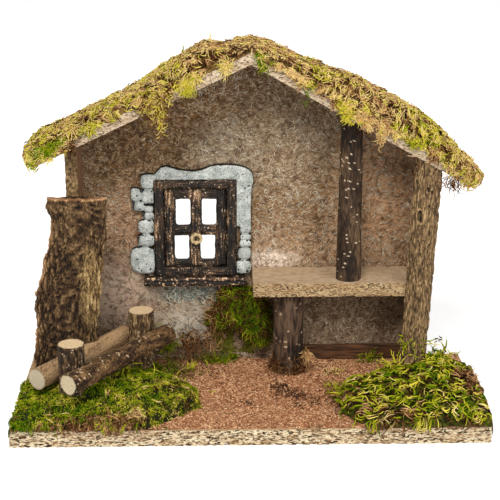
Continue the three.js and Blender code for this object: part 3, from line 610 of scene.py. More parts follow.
def cast_stone_look():
    """Cast stones and plaster, pale and dry-brushed, with dark paint left in joints and pits, where the dark
    is also painted shade in the gaps.
    """
    look = Look("cast_stone", 0.8)
    pale = look.ramp(look.noise(9, detail=4), (0.35, "9aa3a1"), (0.62, "cad0ce"))
    grain = look.mask(look.noise(0.9, detail=4), 0.38, 0.52)
    pale = look.mix(grain, "747b78", pale)
    vein = look.noise(13, 13, 7, detail=6.0)
    away = look.node("Math", {0: look.sum(vein, -0.5)}, operation="ABSOLUTE").outputs["Value"]
    patch = look.mask(look.noise(30, detail=2), 0.5, 0.62)
    pale = look.mix(look.times(look.mask(away, 0.012, 0.003), patch), pale, "282624")
    # Near black where the relief is low: on the stones' sides and towards the wall, partly dark paint and
    # partly painted shade in the gaps.
    low = look.sum(look.value("relief"), look.times(look.noise(2.0, detail=4), 0.24))
    look.colour(look.mix(look.mask(low, 0.64, 0.78), "1a1816", pale))
    look.bump(look.noise(1.0, detail=3), 0.3)
    return look


def moss_look(name, root_shade_tone):
    """Moss strands: tint runs from brown through straw and yellow to deep green, and each strand is darker
    towards its root as painted shade.
    """
    look = Look(name, 0.9)
    look.shader.inputs["Specular IOR Level"].default_value = 0.05
    tone = look.ramp(look.value("tint"), (0.0, "2c1a0e"), (0.12, "764e2c"), (0.26, "e4b480"), (0.4, "ffea9e"),
                     (0.54, "ecde4e"), (0.68, "a8b21a"), (0.84, "5c8608"), (1.0, "1a2a04"))
    # Painted shade: a strand grows darker towards its root, low in the moss.
    root = look.ramp(look.value("along"), (0.0, root_shade_tone), (0.35, "e8e8e8"), (1.0, "ffffff"))
    look.colour(look.mix(1.0, tone, root, "MULTIPLY"))
    return look


def litter_look(name, dark, middle, light):
    """Soil and dead moss under the strands, darker in its hollows as painted shade."""
    look = Look(name, 1.0)
    blend = look.sum(look.times(look.value("relief"), 0.5), look.times(look.noise(3, detail=5), 0.6))
    # The lowest relief falls to a third of the dark colour: painted shade in the hollows.
    look.colour(look.ramp(blend, (0.3, linear(dark, 0.3)), (0.55, dark), (0.75, middle), (0.95, light)))
    look.bump(look.noise(1.6, detail=4), 1.2)
    return look


# Boards

# How far a saw-cut edge's chips stand out
RAGGED = 0.45


def board(node, flat_axis, spacing, edge_look, face_look):
    """Detailed copy of a chipboard panel, rough on its cut edges and chipped along their corners."""
    low, high = box(node)
    low_left, low_right, high_right, high_left = outline(node)
    divisions = [max(2, round((high[i] - low[i]) / spacing[i])) for i in range(3)]
    shares, faces, axes = box_skin(divisions)
    across, back, up = shares.T
    foot = low_left + across[:, None] * (low_right - low_left)
    head = high_left + across[:, None] * (high_right - high_left)
    flat = foot + up[:, None] * (head - foot)
    points = xyz(flat[:, 0], low[1] + back * (high[1] - low[1]), flat[:, 1])
    out = np.sign(np.where((shares == 0) | (shares == 1), shares - 0.5, 0))
    cut = out.copy()
    cut[:, flat_axis] = 0
    rise = RAGGED * rough(points, (2.6, 2.6, 1.3), seed=11)
    on_corner = (np.abs(out).sum(1) > 1) & (np.abs(out[:, flat_axis]) > 0)
    chipped = np.clip(noise(points, 3.1, seed=14) - 0.35, 0, 1) * 1.7 * on_corner
    points = points + cut * rise[:, None] - out * chipped[:, None]
    relief = np.clip(0.5 + rise / (2 * RAGGED), 0, 1)
    piece(node + "_chips", points, [faces], [edge_look, face_look], [node],
          values={"relief": relief}, face_looks=(axes == flat_axis), sharp=50)


def boards():
    cream = chipboard_edge("edge_cream", "e6d9ba", "a07e58", "4a321e", pits=(0.42, 0.5))
    yellow = chipboard_edge("edge_yellow", "c4ac86", "9c7c56", "46301c", pits=(0.4, 0.49), size=0.7)
    grey = chipboard_edge("edge_grey", "d0c1aa", "a0866a", "584330", pits=(0.36, 0.46))
    brown = bark_look("edge_brown", "1c130c", "5e4a30", "947c58", "000000", "000000", grain=(1.1, 1.1, 3.5))
    loft_face = chipboard_face("face_loft", "c2ac90", "a68d70")
    raw_face = chipboard_face("face_raw", "bea280", "9c7e5e")
    painted = chipboard_face("face_painted", "886a4e", "644832")
    board("base_board", 2, (1.1, 5.0, 1.1), cream, raw_face)
    board("loft_floor", 2, (0.9, 4.0, 0.9), yellow, loft_face)
    for node in ("left_roof_board", "right_roof_board"):
        board(node, 2, (0.9, 4.0, 0.9), grey, raw_face)
    for node in ("left_side_panel", "right_side_panel"):
        board(node, 0, (1.0, 4.0, 1.2), brown, painted)


# Wall, sand and batten

WALL_FIBRES = 18000
SAND_GRAINS = 11000
# The window's hole, which bears no fibres: half its width and height
WINDOW_HOLE = (34, 46)
# Where the fibres are paler: middle, reach and how much
PALE_FIBRES = [((-20, 240), (55, 42), 0.15), ((-54, 90), (66, 15), 0.45), ((-55, 55), (50, 28), 0.225)]
# Crumbs on the sand: middle, spread, count and size
DEBRIS = [
    ((36, -8), 7, 150, 1.3), ((-3, -33), 3, 40, 1.1), ((48, -39), 4, 44, 1.1), ((61, -84), 4, 40, 1.0),
    ((30, 6), 5, 90, 1.3), ((52, -14), 6, 80, 1.2), ((64, -28), 7, 70, 1.2), ((44, -20), 5, 60, 1.1),
    ((20, 40), 9, 60, 1.0), ((-40, 55), 12, 90, 1.1), ((78, 48), 14, 90, 1.1),
]


def wall():
    """Painted ground on the CAD wall, and thousands of fine fibres that lie on it."""
    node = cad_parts["back_wall"]
    node.data.materials.clear()
    node.data.materials.append(wall_look().material)
    dice = np.random.default_rng(21)
    low, high = box("back_wall")
    across = dice.uniform(low[0] + 13, high[0] - 13, WALL_FIBRES)
    roots = xyz(across, wall_front, dice.uniform(floor_top + 2, high[2], WALL_FIBRES))
    hole = (np.abs(roots[:, [0, 2]] - window_middle) < WINDOW_HOLE).all(1)
    roots = roots[(roots[:, 2] < roof_under(roots[:, 0]) - 4) & ~hole]
    count = len(roots)
    under_loft = (roots[:, 2] < loft_low[2]) & (roots[:, 0] > loft_low[0])
    swirl = 3.2 * noise(roots, 30, seed=3) + 0.8 * dice.normal(size=count)
    turn = np.where(under_loft, math.pi / 2 + 0.35 * dice.normal(size=count), swirl)
    paths = arcs(dice, roots, xyz(np.cos(turn), 0, np.sin(turn)), dice.uniform(3.5, 9, count), 1.2, 3)
    paths[..., 1] = wall_front - 0.3 - 0.1 * np.abs(paths[..., 1] - wall_front)
    shape = tubes(dice, paths, dice.uniform(0.17, 0.36, count), flat=0.7)
    shape[0][:, 1] = np.minimum(shape[0][:, 1], wall_front - 0.05)
    pale = 0.44 + 0.22 * noise(roots, 24, seed=5) + 0.16 * noise(roots, 7, seed=6)
    pale += 0.22 * dice.normal(size=count)
    # Fibres darker high at the left, partly browner paint and partly painted shade under the roof, and darker
    # under the loft as painted shade.
    pale -= 0.5 * soft_spot(roots, (-105, 265), (80, 70)) + 0.2 * under_loft
    for middle, reach, amount in PALE_FIBRES:
        pale += soft_spot(roots, middle, reach) * amount
    heap = Heap()
    heap.add(shape, pale)
    look = tint_look("wall_fibre", 0.9, (0.0, "4e3420"), (0.3, "907252"), (0.52, "c8b496"),
                     (0.78, "f6eedc"), (1.0, "bcc8c4"))
    heap.piece("wall_fibres", look, "wall_paint")


def ground_debris(heap, dice, middle, spread, count, size):
    """Crumbs of bark and moss heaped on the sand around a place."""
    roots = xyz(*dice.normal(middle, spread, (count, 2)).T, floor_top + 0.2)
    roots[:, 2] += np.abs(dice.normal(0, 0.5, count)) * (size > 1)
    headings = dice.normal(0, 1, (count, 3)) * [1, 1, 0.35]
    shape = strands(dice, roots, headings, dice.uniform(0.8, 2.4, count) * size,
                    dice.uniform(0.25, 0.7, count) * size, joints=2, leaf=True)
    heap.add(shape, dice.uniform(0, 0.22, count))


def sand():
    """Glued sand: an uneven grainy sheet with loose grains on it, and dark crumbs here and there."""
    low, high = box("sand_floor")
    divisions = [round((high[0] - low[0]) / 1.3), round((high[1] - low[1]) / 1.3), 1]
    shares, faces, _ = box_skin(divisions)
    points = low + shares * (high - low)
    top = shares[:, 2] == 1
    on_rim = np.abs(shares[:, :2] - 0.5) == 0.5
    points[:, 2] += top * (0.3 * rough(points, 6, seed=31) + 0.18 * noise(points, 1.4, seed=35))
    pulled = 0.8 + 1.2 * rough(points, 5, seed=37)
    points[:, :2] -= np.sign(points[:, :2]) * pulled[:, None] * on_rim
    piece("sand_sheet", points, [faces], [sand_look()], ["sand_floor"])

    dice = np.random.default_rng(33)
    grains = Heap()
    across = dice.uniform(low[0], high[0], SAND_GRAINS)
    roots = xyz(across, dice.uniform(low[1], wall_front - 1, SAND_GRAINS), high[2] + 0.1)
    shape = strands(dice, roots, dice.normal(0, 1, roots.shape), dice.uniform(0.6, 1.3, SAND_GRAINS),
                    dice.uniform(0.25, 0.5, SAND_GRAINS), joints=2, leaf=True)
    grains.add(shape, dice.uniform(0, 1, SAND_GRAINS))
    look = tint_look("loose_sand", 1.0, (0.0, "2c180e"), (0.35, "9c6440"), (0.75, "d09a6e"), (1.0, "ffe4be"))
    grains.piece("sand_grains", look, "sand")

    crumbs = Heap()
    for middle, spread, amount, size in DEBRIS:
        ground_debris(crumbs, dice, middle, spread, amount, size)
    look = tint_look("crumbs", 0.95, (0.0, "2c1a12"), (0.3, "704a2e"), (1.0, "966e46"))
    crumbs.piece("floor_crumbs", look, "dark_bark")


# Logs and bark


class Log:
    """A log between two middles, as a grid of rings that starts and ends in the middle of its cut ends."""

    def __init__(self, start, end, radii, spacing=0.9):
        start, end = np.asarray(start, float), np.asarray(end, float)
        self.length = np.linalg.norm(end - start)
        self.axis = unit(end - start)
        helper = [0, 1, 0] if abs(self.axis[2]) > 0.9 else [0, 0, 1]
        side = unit(np.cross(self.axis, helper))
        caps, body = max(4, round(max(radii) / (2 * spacing))), round(self.length / spacing)
        inward = np.linspace(0.05, 1, caps, endpoint=False)
        self.reach = np.concatenate([inward, np.ones(body + 1), inward[::-1]])[:, None]
        self.along = np.concatenate([np.zeros(caps), np.linspace(0, 1, body + 1), np.ones(caps)])[:, None]
        self.sides = round(2 * math.pi * max(radii) / spacing)
        self.angle = np.linspace(0, 2 * math.pi, self.sides, endpoint=False)[None]
        self.radius = radii[0] + (radii[1] - radii[0]) * self.along
        other = np.cross(self.axis, side)
        self.out = np.cos(self.angle)[..., None] * side + np.sin(self.angle)[..., None] * other
        self.middle = start + self.along[..., None] * (end - start)
        # Places for noise: round the log in two directions and along it in the third
        across, back = self.radius * np.cos(self.angle), self.radius * np.sin(self.angle)
        self.local = xyz(across, back, self.along * self.length)
        self.values = {
            "cut": (self.reach < 0.93) * np.ones(self.sides),
            "ring": self.radius * self.reach * 4.0 + 0.8 * noise(self.local, 6, seed=2),
        }

    def spots(self, dice, count, size, oval=1.0):
        """Pale flecks of about this size round and along the bark, oval times as wide as they are high."""
        found = np.zeros(self.local.shape[:2])
        for _ in range(count):
            turn, place = dice.uniform(0, 2 * math.pi), dice.uniform(0, self.length)
            wide, high = dice.uniform(0.5, 1.3, 2) * size * np.array([oval, 1])
            away = np.abs((self.angle - turn + math.pi) % (2 * math.pi) - math.pi) * self.radius / wide
            found = np.maximum(found, 1 - np.hypot(away, (self.along * self.length - place) / high))
        return np.clip(found * 2.2, 0, 1)

    def points(self, relief, ends=0.15):
        """The grid's points for a relief in millimetres, with rough saw cuts at its ends."""
        radius = self.radius * self.reach + relief * self.reach
        saw = ends * rough(self.local * self.reach[..., None], (2.5, 0.9, 50), seed=8) * (self.reach < 1)
        tilt = np.where(self.along > 0.5, 1, -1) * saw
        return self.middle + self.out * radius[..., None] + self.axis * tilt[..., None]

    def piece(self, node, points, relief, look, slot, spot=None, suffix="_bark"):
        values = {**self.values, "relief": (relief - relief.min()) / np.ptp(relief)}
        if spot is not None:
            values["spot"] = spot
        rings_piece(node + suffix, points, look, node, values, sharp=60)


def upright_ends(node):
    """Middles and radii of an upright log's two ends."""
    found = corners(node)
    low, high = found[:, 2].min(), found[:, 2].max()
    share = (found[:, 2] - low) / (high - low)
    ends = [found[share < 0.04], found[share > 0.88]]
    middles = [(end.min(0) + end.max(0)) / 2 for end in ends]
    middles[0][2], middles[1][2] = low, high
    return middles, [np.ptp(end[:, 1]) / 2 for end in ends]


def lying_ends(node):
    """Middles and radius of the two ends of a log that lies along its longest direction."""
    found = corners(node)
    middle = (found.min(0) + found.max(0)) / 2
    axis = np.linalg.svd(found - middle, full_matrices=False)[2][0]
    axis = axis * np.sign(axis[1])
    along = (found - middle) @ axis
    off = np.linalg.norm(found - middle - along[:, None] * axis, axis=1)
    return [middle + along.min() * axis, middle + along.max() * axis], [np.median(off)] * 2


def to_roof(points, foot):
    """Stretches an upright log so that its head follows the roof's underside."""
    head = points[..., 2].max()
    share = np.clip((points[..., 2] - foot) / (head - foot), 0, 1)
    points[..., 2] = foot + share * (roof_under(points[..., 0]) - GAP - foot)
    return points


def roof_trunk():
    middles, radii = upright_ends("roof_trunk")
    log = Log(*middles, radii, spacing=0.8)
    dice = np.random.default_rng(41)
    spot = log.spots(dice, 125, 0.72, oval=1.9)
    relief = 0.45 * rough(log.local, (9, 9, 30), seed=41) + 0.18 * noise(log.local, (1.3, 1.3, 6), seed=44)
    relief += 0.3 * spot
    points = to_roof(log.points(relief), middles[0][2])
    look = bark_look("bark_hazel", "1b120d", "3a2b1f", "6a543e", "d6c2a8", "d6b48c")
    log.piece("roof_trunk", points, relief, look, "dark_bark", spot)


def loft_trunk():
    middles, radii = upright_ends("loft_trunk")
    straight = radii[1]
    log = Log(*middles, [straight, straight], spacing=0.9)
    dice = np.random.default_rng(51)
    height = log.along * log.length
    flare = np.clip(1 - height / 26, 0, 1) ** 2
    lobes = 0.5 + 0.5 * np.cos(4 * log.angle + 0.6)
    relief = 0.5 * rough(log.local, (8, 8, 26), seed=51) + 0.3 * noise(log.local, (1.6, 1.6, 9), seed=54)
    shape = flare * (3.0 * lobes + 0.9 * rough(log.local, (2, 2, 5), seed=57))
    spot = log.spots(dice, 60, 1.2, oval=1.4) * (flare < 0.2)
    look = bark_look("bark_grey", "18110c", "382a21", "604c3c", "bea488", "ceb088")
    log.piece("loft_trunk", log.points(relief + shape + 0.3 * spot), relief, look, "grey_bark", spot)
    trunk_fibres(dice, middles[0], straight)


FOOT_FIBRES = 420
TUFT_FIBRES = 40


def trunk_fibres(dice, foot, radius):
    """Brown fibres round the loft trunk's foot, and a tuft that hangs from its right side."""
    fibres = Heap()
    count = FOOT_FIBRES
    turn = dice.uniform(math.pi * 0.95, math.pi * 2.05, count)
    up = np.abs(dice.normal(0, 9, count))
    reach = radius + 1 + 2.5 * np.clip(1 - up / 24, 0, 1) ** 2
    roots = xyz(foot[0] + reach * np.cos(turn), foot[1] + reach * np.sin(turn), floor_top + up)
    headings = xyz(np.cos(turn) * 0.4, np.sin(turn) * 0.4, dice.normal(-0.5, 0.8, count))
    shape = strands(dice, roots, headings, dice.uniform(3, 9, count), 0.4, joints=4, bend=1.5)
    fibres.add(shape, dice.uniform(0, 0.2, count))
    count = TUFT_FIBRES
    roots = np.array([foot[0] + radius + 1, foot[1] - 6, floor_top + 22]) + dice.normal(0, 1.6, (count, 3))
    headings = dice.normal([0.5, -0.6, -1.2], 0.35, (count, 3))
    shape = strands(dice, roots, headings, dice.uniform(8, 22, count), 0.5, joints=5, bend=1.2)
    fibres.add(shape, dice.uniform(0.2, 0.34, count))
    fibres.piece("loft_trunk_fibres", moss, "floor_moss")


# Where the rear post is peeled and where it is cracked, as turns round it
PEELED_AT = math.radians(-42)
CRACKED_AT = math.radians(236)


def fence_post(node, seed, look):
    middles, radii = upright_ends(node)
    log = Log(*middles, radii, spacing=0.8)
    dice = np.random.default_rng(seed)
    spot = log.spots(dice, 130, 0.75) * (noise(log.local, 5, seed=seed + 9) > -0.3)
    relief = 0.45 * rough(log.local, (6, 6, 18), seed=seed)
    relief += 0.25 * noise(log.local, (1.2, 1.2, 4), seed=seed + 4)
    relief += 0.35 * spot
    if node == "rear_fence_post":
        turn = (log.angle - PEELED_AT + math.pi) % (2 * math.pi) - math.pi
        peel = np.clip((0.42 - np.abs(turn + 0.1 * noise(log.local, (9, 9, 9), seed=3))) * 8, 0, 1)
        relief = relief * (1 - peel) - 0.8 * peel
        log.values["cut"] = np.maximum(log.values["cut"], peel)
        crack = np.exp(-((log.angle - CRACKED_AT) * log.radius / 0.5) ** 2)
        relief = np.maximum(relief - 1.0 * crack * (log.reach == 1), -0.65)
    log.piece(node, log.points(relief), relief, look, "dark_bark", spot)


def front_rail():
    look = bark_look("bark_red", "120b06", "3e2b1a", "826442", "e2ceac", "dacaa8")
    middles, radii = lying_ends("front_fence_rail")
    log = Log(*middles, radii, spacing=0.8)
    dice = np.random.default_rng(81)
    spot = log.spots(dice, 170, 0.9, oval=1.4) * (noise(log.local, 9, seed=88) > -0.2)
    relief = 0.9 * rough(log.local, (6, 6, 14), seed=81)
    relief += 0.7 * rough(log.local, (1.5, 1.5, 3), seed=85)
    relief += 0.5 * spot
    log.piece("front_fence_rail", log.points(relief, ends=0.8), relief, look, "dark_bark", spot)


def rear_rail():
    look = bark_look("wood_peeled", "22170e", "624a32", "b0926e", "c8b092", "cec2a8", grain=(1.0, 12.0, 1.0))
    middles, radii = lying_ends("rear_fence_rail")
    log = Log(*middles, radii, spacing=0.8)
    relief = 0.35 * rough(log.local, (8, 8, 40), seed=91) + 0.22 * rough(log.local, (1.2, 1.2, 18), seed=95)
    relief = relief - 0.7 * log.spots(np.random.default_rng(92), 5, 2.2)
    log.piece("rear_fence_rail", log.points(relief), relief, look, "grey_bark", suffix="_wood")


def fence():
    """Two posts and two rails. The rear rail has lost its bark, and the rear post is peeled at one side."""
    specked = bark_look("bark_specked", "140e09", "4e3a26", "ac9068", "d6c6ac", "f4d8ae")
    fence_post("front_fence_post", 61, specked)
    fence_post("rear_fence_post", 71, specked)
    front_rail()
    rear_rail()


def slab_edges(node, levels, band):
    """How far a slab reaches to its left and right at some heights, give or take a band."""
    found = corners(node)
    rows = [found[np.abs(found[:, 2] - level) < band][:, 0] for level in levels]
    return np.array([[row.min(), row.max()] for row in rows])


def slab_grid(node, levels, edges, thickness, squareness, spacing=0.9):
    """Rings of a half-round slab from one end's middle to the other's: points, outward directions, masks."""
    low, high = box(node)
    height = high[2] - low[2]
    body, front = round(height / spacing), round(1.35 * np.ptp(edges[0]) / spacing)
    back = round(front / 6)
    inward = np.linspace(0.05, 1, 6, endpoint=False)
    reach = np.concatenate([inward, np.ones(body + 1), inward[::-1]])[:, None]
    along = np.concatenate([np.zeros(6), np.linspace(0, 1, body + 1), np.ones(6)])[:, None]
    z = low[2] + along * height
    left, right = (np.interp(z, levels, edges[:, i]) for i in (0, 1))
    turn = math.pi * (1 + np.linspace(0, 1, front))
    cos, sin = np.cos(turn), np.sin(turn)
    rounded = np.sign(cos) * np.abs(cos) ** squareness
    across = np.concatenate([rounded, np.linspace(1, -1, back + 2)[1:-1]])[None]
    out = np.concatenate([-np.abs(sin) ** squareness, np.zeros(back)])[None]
    x = (left + right) / 2 + (right - left) / 2 * across * reach
    # Cap rings draw in to a line just before the slab's back
    y = house_front - GAP + thickness * (out * reach - 0.3 * (1 - reach))
    return xyz(x, y, z), unit(xyz(across * 0.5, out, 0 * z)), reach, along, (out < 0) * np.ones_like(z)


POST_THICKNESS = 10.5
CORK_THICKNESS = 12
# Knots of the bark post: middles and reaches
BARK_KNOTS = [((166.5, 191.5), (4.2, 9)), ((173.5, 222.5), (2.6, 4))]


def bark_post():
    """Half-round post with thick, cracked bark whose plates run up it."""
    low, high = box("right_bark_post")
    levels = [low[2], high[2] - 7]
    edges = slab_edges("right_bark_post", levels, 8)
    points, outward, reach, _, bark = slab_grid("right_bark_post", levels, edges, POST_THICKNESS, 0.9)
    plates = cracks(points + 1.5 * rough(points, 9, seed=102)[..., None], (1.8, 6, 15), seed=101)
    relief = 1.2 * np.clip(plates * 1.8, 0, 1) + 0.9 * rough(points, (1.1, 3, 9), seed=104)
    for middle, wide in BARK_KNOTS:
        knot = soft_spot(points, middle, wide)
        relief += 1.5 * np.clip(3 * knot, 0, 1) - 2.6 * np.clip(3 * knot - 1.0, 0, 1)
    relief = relief * bark * reach
    points = to_roof(points + outward * (relief - 0.9)[..., None], floor_top)
    look = bark_look("bark_post", "1e150d", "705a3e", "bc9e74", "bea88c", "ceb088", grain=(0.9, 0.9, 6.0))
    values = {"relief": np.clip((relief + 1.1) / 4.1, 0, 1)}
    rings_piece("right_bark_post_bark", points, look, "right_bark_post", values, sharp=75)


# The cork's paler ridge: middle and reach
CORK_RIDGE = ((-153, 118), (15, 52))


def cork_slab():
    """Cork bark slab: folds above, upright furrows below, a paler ridge low on the right, a torn rim."""
    levels = np.unique(np.round(corners("cork_slab")[:, 2], 1))
    edges = slab_edges("cork_slab", levels, 0.3)
    points, outward, reach, along, bark = slab_grid("cork_slab", levels, edges, CORK_THICKNESS, 0.55, 0.8)
    drift = points + 5 * rough(points, 22, seed=111)[..., None]
    tilted = drift + drift[..., :1] * np.array([0, 0, 0.35])
    folds = 1 - 2 * np.abs(rough(tilted, (15, 15, 6.5), seed=114, octaves=4))
    furrows = np.clip(1.7 * cracks(drift, (3.2, 9, 17), seed=118), 0, 1)
    fine = rough(points, (1.2, 1.2, 4), seed=121)
    upper = np.clip((points[..., 2] - 150) / 26 + 0.4 * noise(points, 14, seed=122), 0, 1)
    ridge = np.clip(soft_spot(points, *CORK_RIDGE) * 1.8 + 0.3 * noise(points, 9, seed=124) - 0.2, 0, 1)
    lines = cracks(points + rough(points, 20, seed=134)[..., None], (2.3, 9, 22), seed=133)
    lines = np.clip(1.8 * lines, 0, 1)
    furrows = furrows + ridge * (lines - furrows)
    relief = (1 - upper) * (2.6 * furrows - 1.6) + upper * (1.9 * folds + 0.9 * (furrows - 0.5))
    relief = relief + 0.85 * fine + 0.7 * ridge
    relief = np.clip(relief, -3.2, 2.6) * bark * reach
    ragged = 1.8 * rough(points, (30, 30, 5), seed=127, octaves=4) * np.abs(outward[..., 0]) ** 3
    points = points + outward * (relief - 1.0)[..., None]
    points[..., 0] += ragged * np.sign(outward[..., 0]) * reach
    points[..., 2] += (along > 0.5) * 4.6 * rough(points, (4, 5, 90), seed=129, octaves=3) * (along - 0.5)
    side = np.clip(np.abs(outward[..., 0]) * 2.6 - 1.0, 0, 1) * (points[..., 0] < edges.mean())
    rim = np.clip((points[..., 2] - levels[-1] + 1.6) / 1.6 + 0.3 * folds, 0, 1) * bark
    rim = np.maximum(rim, side * np.clip(0.6 + 1.2 * noise(points, 14, seed=131), 0, 1)) * (reach > 0.5)
    shown = np.clip((relief + 3.2 - 1.1 * upper) / 5.8 + 0.2 * rim, 0, 1)
    values = {"tan": ridge, "rim": rim, "relief": shown}
    rings_piece("cork_slab_bark", points, cork_look(), "cork_slab", values, sharp=75)


# Window


def cast(node, voxel, smoothing, rise_at, look):
    """Detailed copy of a cast node whose front rises by rise_at(points, normals), and its look's relief."""
    points, faces, normals = net(node, voxel, smoothing)
    rise, relief = rise_at(points, normals)
    rise = rise * (points[:, 1] < wall_front - 0.8)
    points = points + normals * rise[:, None]
    piece(node + "_cast", points, [faces], [look], [node], values={"relief": relief})


def roughened(name, node, voxel, rise, size, seed, look):
    """Detailed copy of a small node whose surface rises and falls in lumps of this size."""
    points, faces, normals = net(node, voxel, 1)
    points = points + normals * (rise * rough(points, size, seed=seed))[:, None]
    piece(name, points, [faces], [look], [node])


def bar_grain(points, low, high, bar):
    """Wood grain that runs up a window's stiles and across its rails."""
    upright = (points[:, 0] < low[0] + bar) | (points[:, 0] > high[0] - bar)
    upright |= np.abs(points[:, 0] - (low[0] + high[0]) / 2) < 6.6
    grain_up = rough(points, (1.2, 3, 9), seed=141)
    grain_across = rough(points, (9, 3, 1.2), seed=144)
    return np.where(upright, grain_up, grain_across)


def window_timber():
    look = cast_timber_look("cast_timber", "56402e")
    sill_look = cast_timber_look("cast_sill", "543622")

    def frame_rise(points, normals):
        grain = bar_grain(points, frame_low, frame_high, 9.5)
        knocks = rough(points, 7, seed=147)
        relief = 0.46 + 0.42 * grain + 0.22 * noise(points, 13, seed=148)
        return 0.7 * grain + 0.6 * knocks, relief

    def sash_rise(points, normals):
        grain = bar_grain(points, sash_low, sash_high, 11.5)
        step = np.abs(points[:, 0] - window_middle[0])
        left = points[:, 0] < window_middle[0]
        warm = 0.14 * np.exp(-((step - 26) / 4) ** 2) * left + 0.12 * (step < 5)
        relief = 0.44 + 0.42 * grain + warm + 0.2 * noise(points, 11, seed=151)
        return 0.7 * grain + 0.5 * rough(points, 5, seed=152), relief

    def sill_rise(points, normals):
        grain = rough(points, (26, 4, 1.6), seed=154, octaves=4)
        seam = np.exp(-((points[:, 2] - sill_high[2] + 4.2) / 0.7) ** 2)
        # A painted highlight: the sill's front face is paler just below its top edge.
        crest = np.clip(1 - np.abs(points[:, 2] - sill_high[2] + 1.2) / 1.6, 0, 1)
        speck = np.clip(noise(points, 1.6, seed=157) * 2.2 - 0.6, 0, 1)
        relief = 0.43 + 0.42 * grain + 0.16 * crest + 0.7 * speck - 0.35 * seam
        return 0.6 * grain - 0.9 * seam + 0.6 * rough(points, 8, seed=158), relief

    sill_high = box("window_sill")[1]
    cast("window_frame", 0.7, 3, frame_rise, look)
    cast("window_sash", 0.6, 2, sash_rise, look)
    cast("window_sill", 0.7, 2, sill_rise, sill_look)


def stone_surround():
    def rise_at(points, normals):
        proud = (wall_front - points[:, 1]) / 8.5
        pits = np.clip(noise(points, 2.4, seed=161) - 0.6, 0, 1) * 4
        lumps = rough(points, 5, seed=163, octaves=4)
        edge = np.clip(-normals[:, 1], 0, 1)
        # Relief is lower on the stones' sides, towards the wall and in pits, where the look paints them dark,
        # partly as painted shade.
        return 0.8 * lumps * edge - 1.4 * pits * edge, proud * 0.55 + 0.4 * edge - 0.6 * np.clip(pits, 0, 1)

    cast("window_surround", 0.7, 1, rise_at, cast_stone_look())


def ring():
    look = Look("old_gold", 0.45)
    worn = look.noise(2.2, detail=4)
    look.colour(look.ramp(worn, (0.3, "4e3c24"), (0.5, "b09a70"), (0.7, "e2d2ac")))
    look.bump(worn, 0.2)
    roughened("ring_handle_cast", "ring_handle", 0.45, 0.18, 2.2, 171, look)


def batten():
    """Rough dark batten at the wall's foot."""
    # The batten is coloured dark brown all over.
    look = Look("dark_batten", 0.85)
    grain = look.noise(20, 2, 1.6, detail=4)
    look.colour(look.ramp(grain, (0.35, "2a1b10"), (0.65, "62422a")))
    look.bump(grain, 0.5)
    roughened("wall_batten_wood", "wall_batten", 1.0, 0.4, (18, 3, 2), 173, look)


# Moss


def mound(node, voxel, lumps, seed, name, slot, reshaped=None, cushion=0.0):
    """Lumpy litter in place of a moss solid. Returns its points, normals and depth of gaps from 0 to 1."""
    points, faces, normals = net(node, voxel, 2)
    if reshaped:
        points = reshaped(points)
    if cushion:
        full = cracks(points * [1, 1, 0] + 2 * rough(points, 7, seed=seed + 3)[:, None], cushion, seed=seed)
    else:
        full = 1 - np.abs(rough(points, (11, 11, 9), seed=seed, octaves=3))
    rise = lumps * (2 * full - 1) * (normals[:, 2] > -0.7)
    points = points + normals * rise[:, None]
    piece(name, points, [faces], [litters[slot]], [node], values={"relief": np.clip(full, 0, 1)})
    return points, normals, 1 - full


def lying(dice, sheet, lay, roots, turns, curls, lengths, radius, lift, arch=0.8, joints=6):
    """Strands on a sheet. Each sets off from its root along its turn and curls by so many radians."""
    count = len(roots)
    share = np.linspace(0, 1, joints + 1)
    angle = turns[:, None] + curls[:, None] * share + dice.normal(0, 0.1, (count, joints + 1))
    steps = np.stack([np.cos(angle), np.sin(angle)], -1) * (lengths / joints)[:, None, None]
    places = roots[:, None] + np.cumsum(steps, 1) - steps[:, :1]
    raised = lift[:, None] + arch * dice.uniform(-0.2, 1, (count, 1)) * np.sin(math.pi * share)
    return tubes(dice, lay(places, sheet.at(places), np.maximum(raised, 0.1)), radius)


def browned(dice, tints, share, low, high):
    """Tints of which this share is replaced by random ones, mostly brown ones."""
    count = len(tints)
    return np.where(dice.uniform(0, 1, count) < share, dice.uniform(low, high, count), tints)


def bundles(heap, dice, sheet, lay, middles, size, turns, curl, lengths, radius, lift, tints,
            width=1.6, fan=0.2, odd=0.1, arch=0.8, joints=6):
    """Strands in bundles. A bundle has one direction, curl, height and tint, and a few odd strands."""
    count = len(middles) * size
    roots = np.repeat(middles, size, 0) + dice.normal(0, width, (count, 2)) * (size > 1)
    turns = np.repeat(turns, size) + dice.normal(0, fan, count)
    curls = np.repeat(dice.normal(0, curl, len(middles)), size) + dice.normal(0, 0.3, count)
    lifts = np.repeat(dice.uniform(*lift, len(middles)), size) + dice.uniform(0, 0.6, count)
    shape = lying(dice, sheet, lay, roots, turns, curls, dice.uniform(*lengths, count),
                  dice.uniform(*radius, count), lifts, arch=arch, joints=joints)
    tints = np.repeat(tints, size) + dice.normal(0, 0.05, count)
    heap.add(shape, browned(dice, tints, odd, 0.02, 0.4))


def dark_tints(dice, count):
    """Tints of old strands low in the moss: brown ones and deep green ones."""
    is_brown = dice.uniform(0, 1, count) < 0.55
    return np.where(is_brown, dice.uniform(0, 0.1, count), dice.uniform(0.92, 1, count))


def fold(past, lift, radius=1.8):
    """How far out and how far down strands at this lift are once they have gone past an edge."""
    turn = np.clip(past / radius, 0, math.pi / 2)
    down = radius - (radius + lift) * np.cos(turn) + np.maximum(past - radius * math.pi / 2, 0)
    return (radius + lift) * np.sin(turn), down


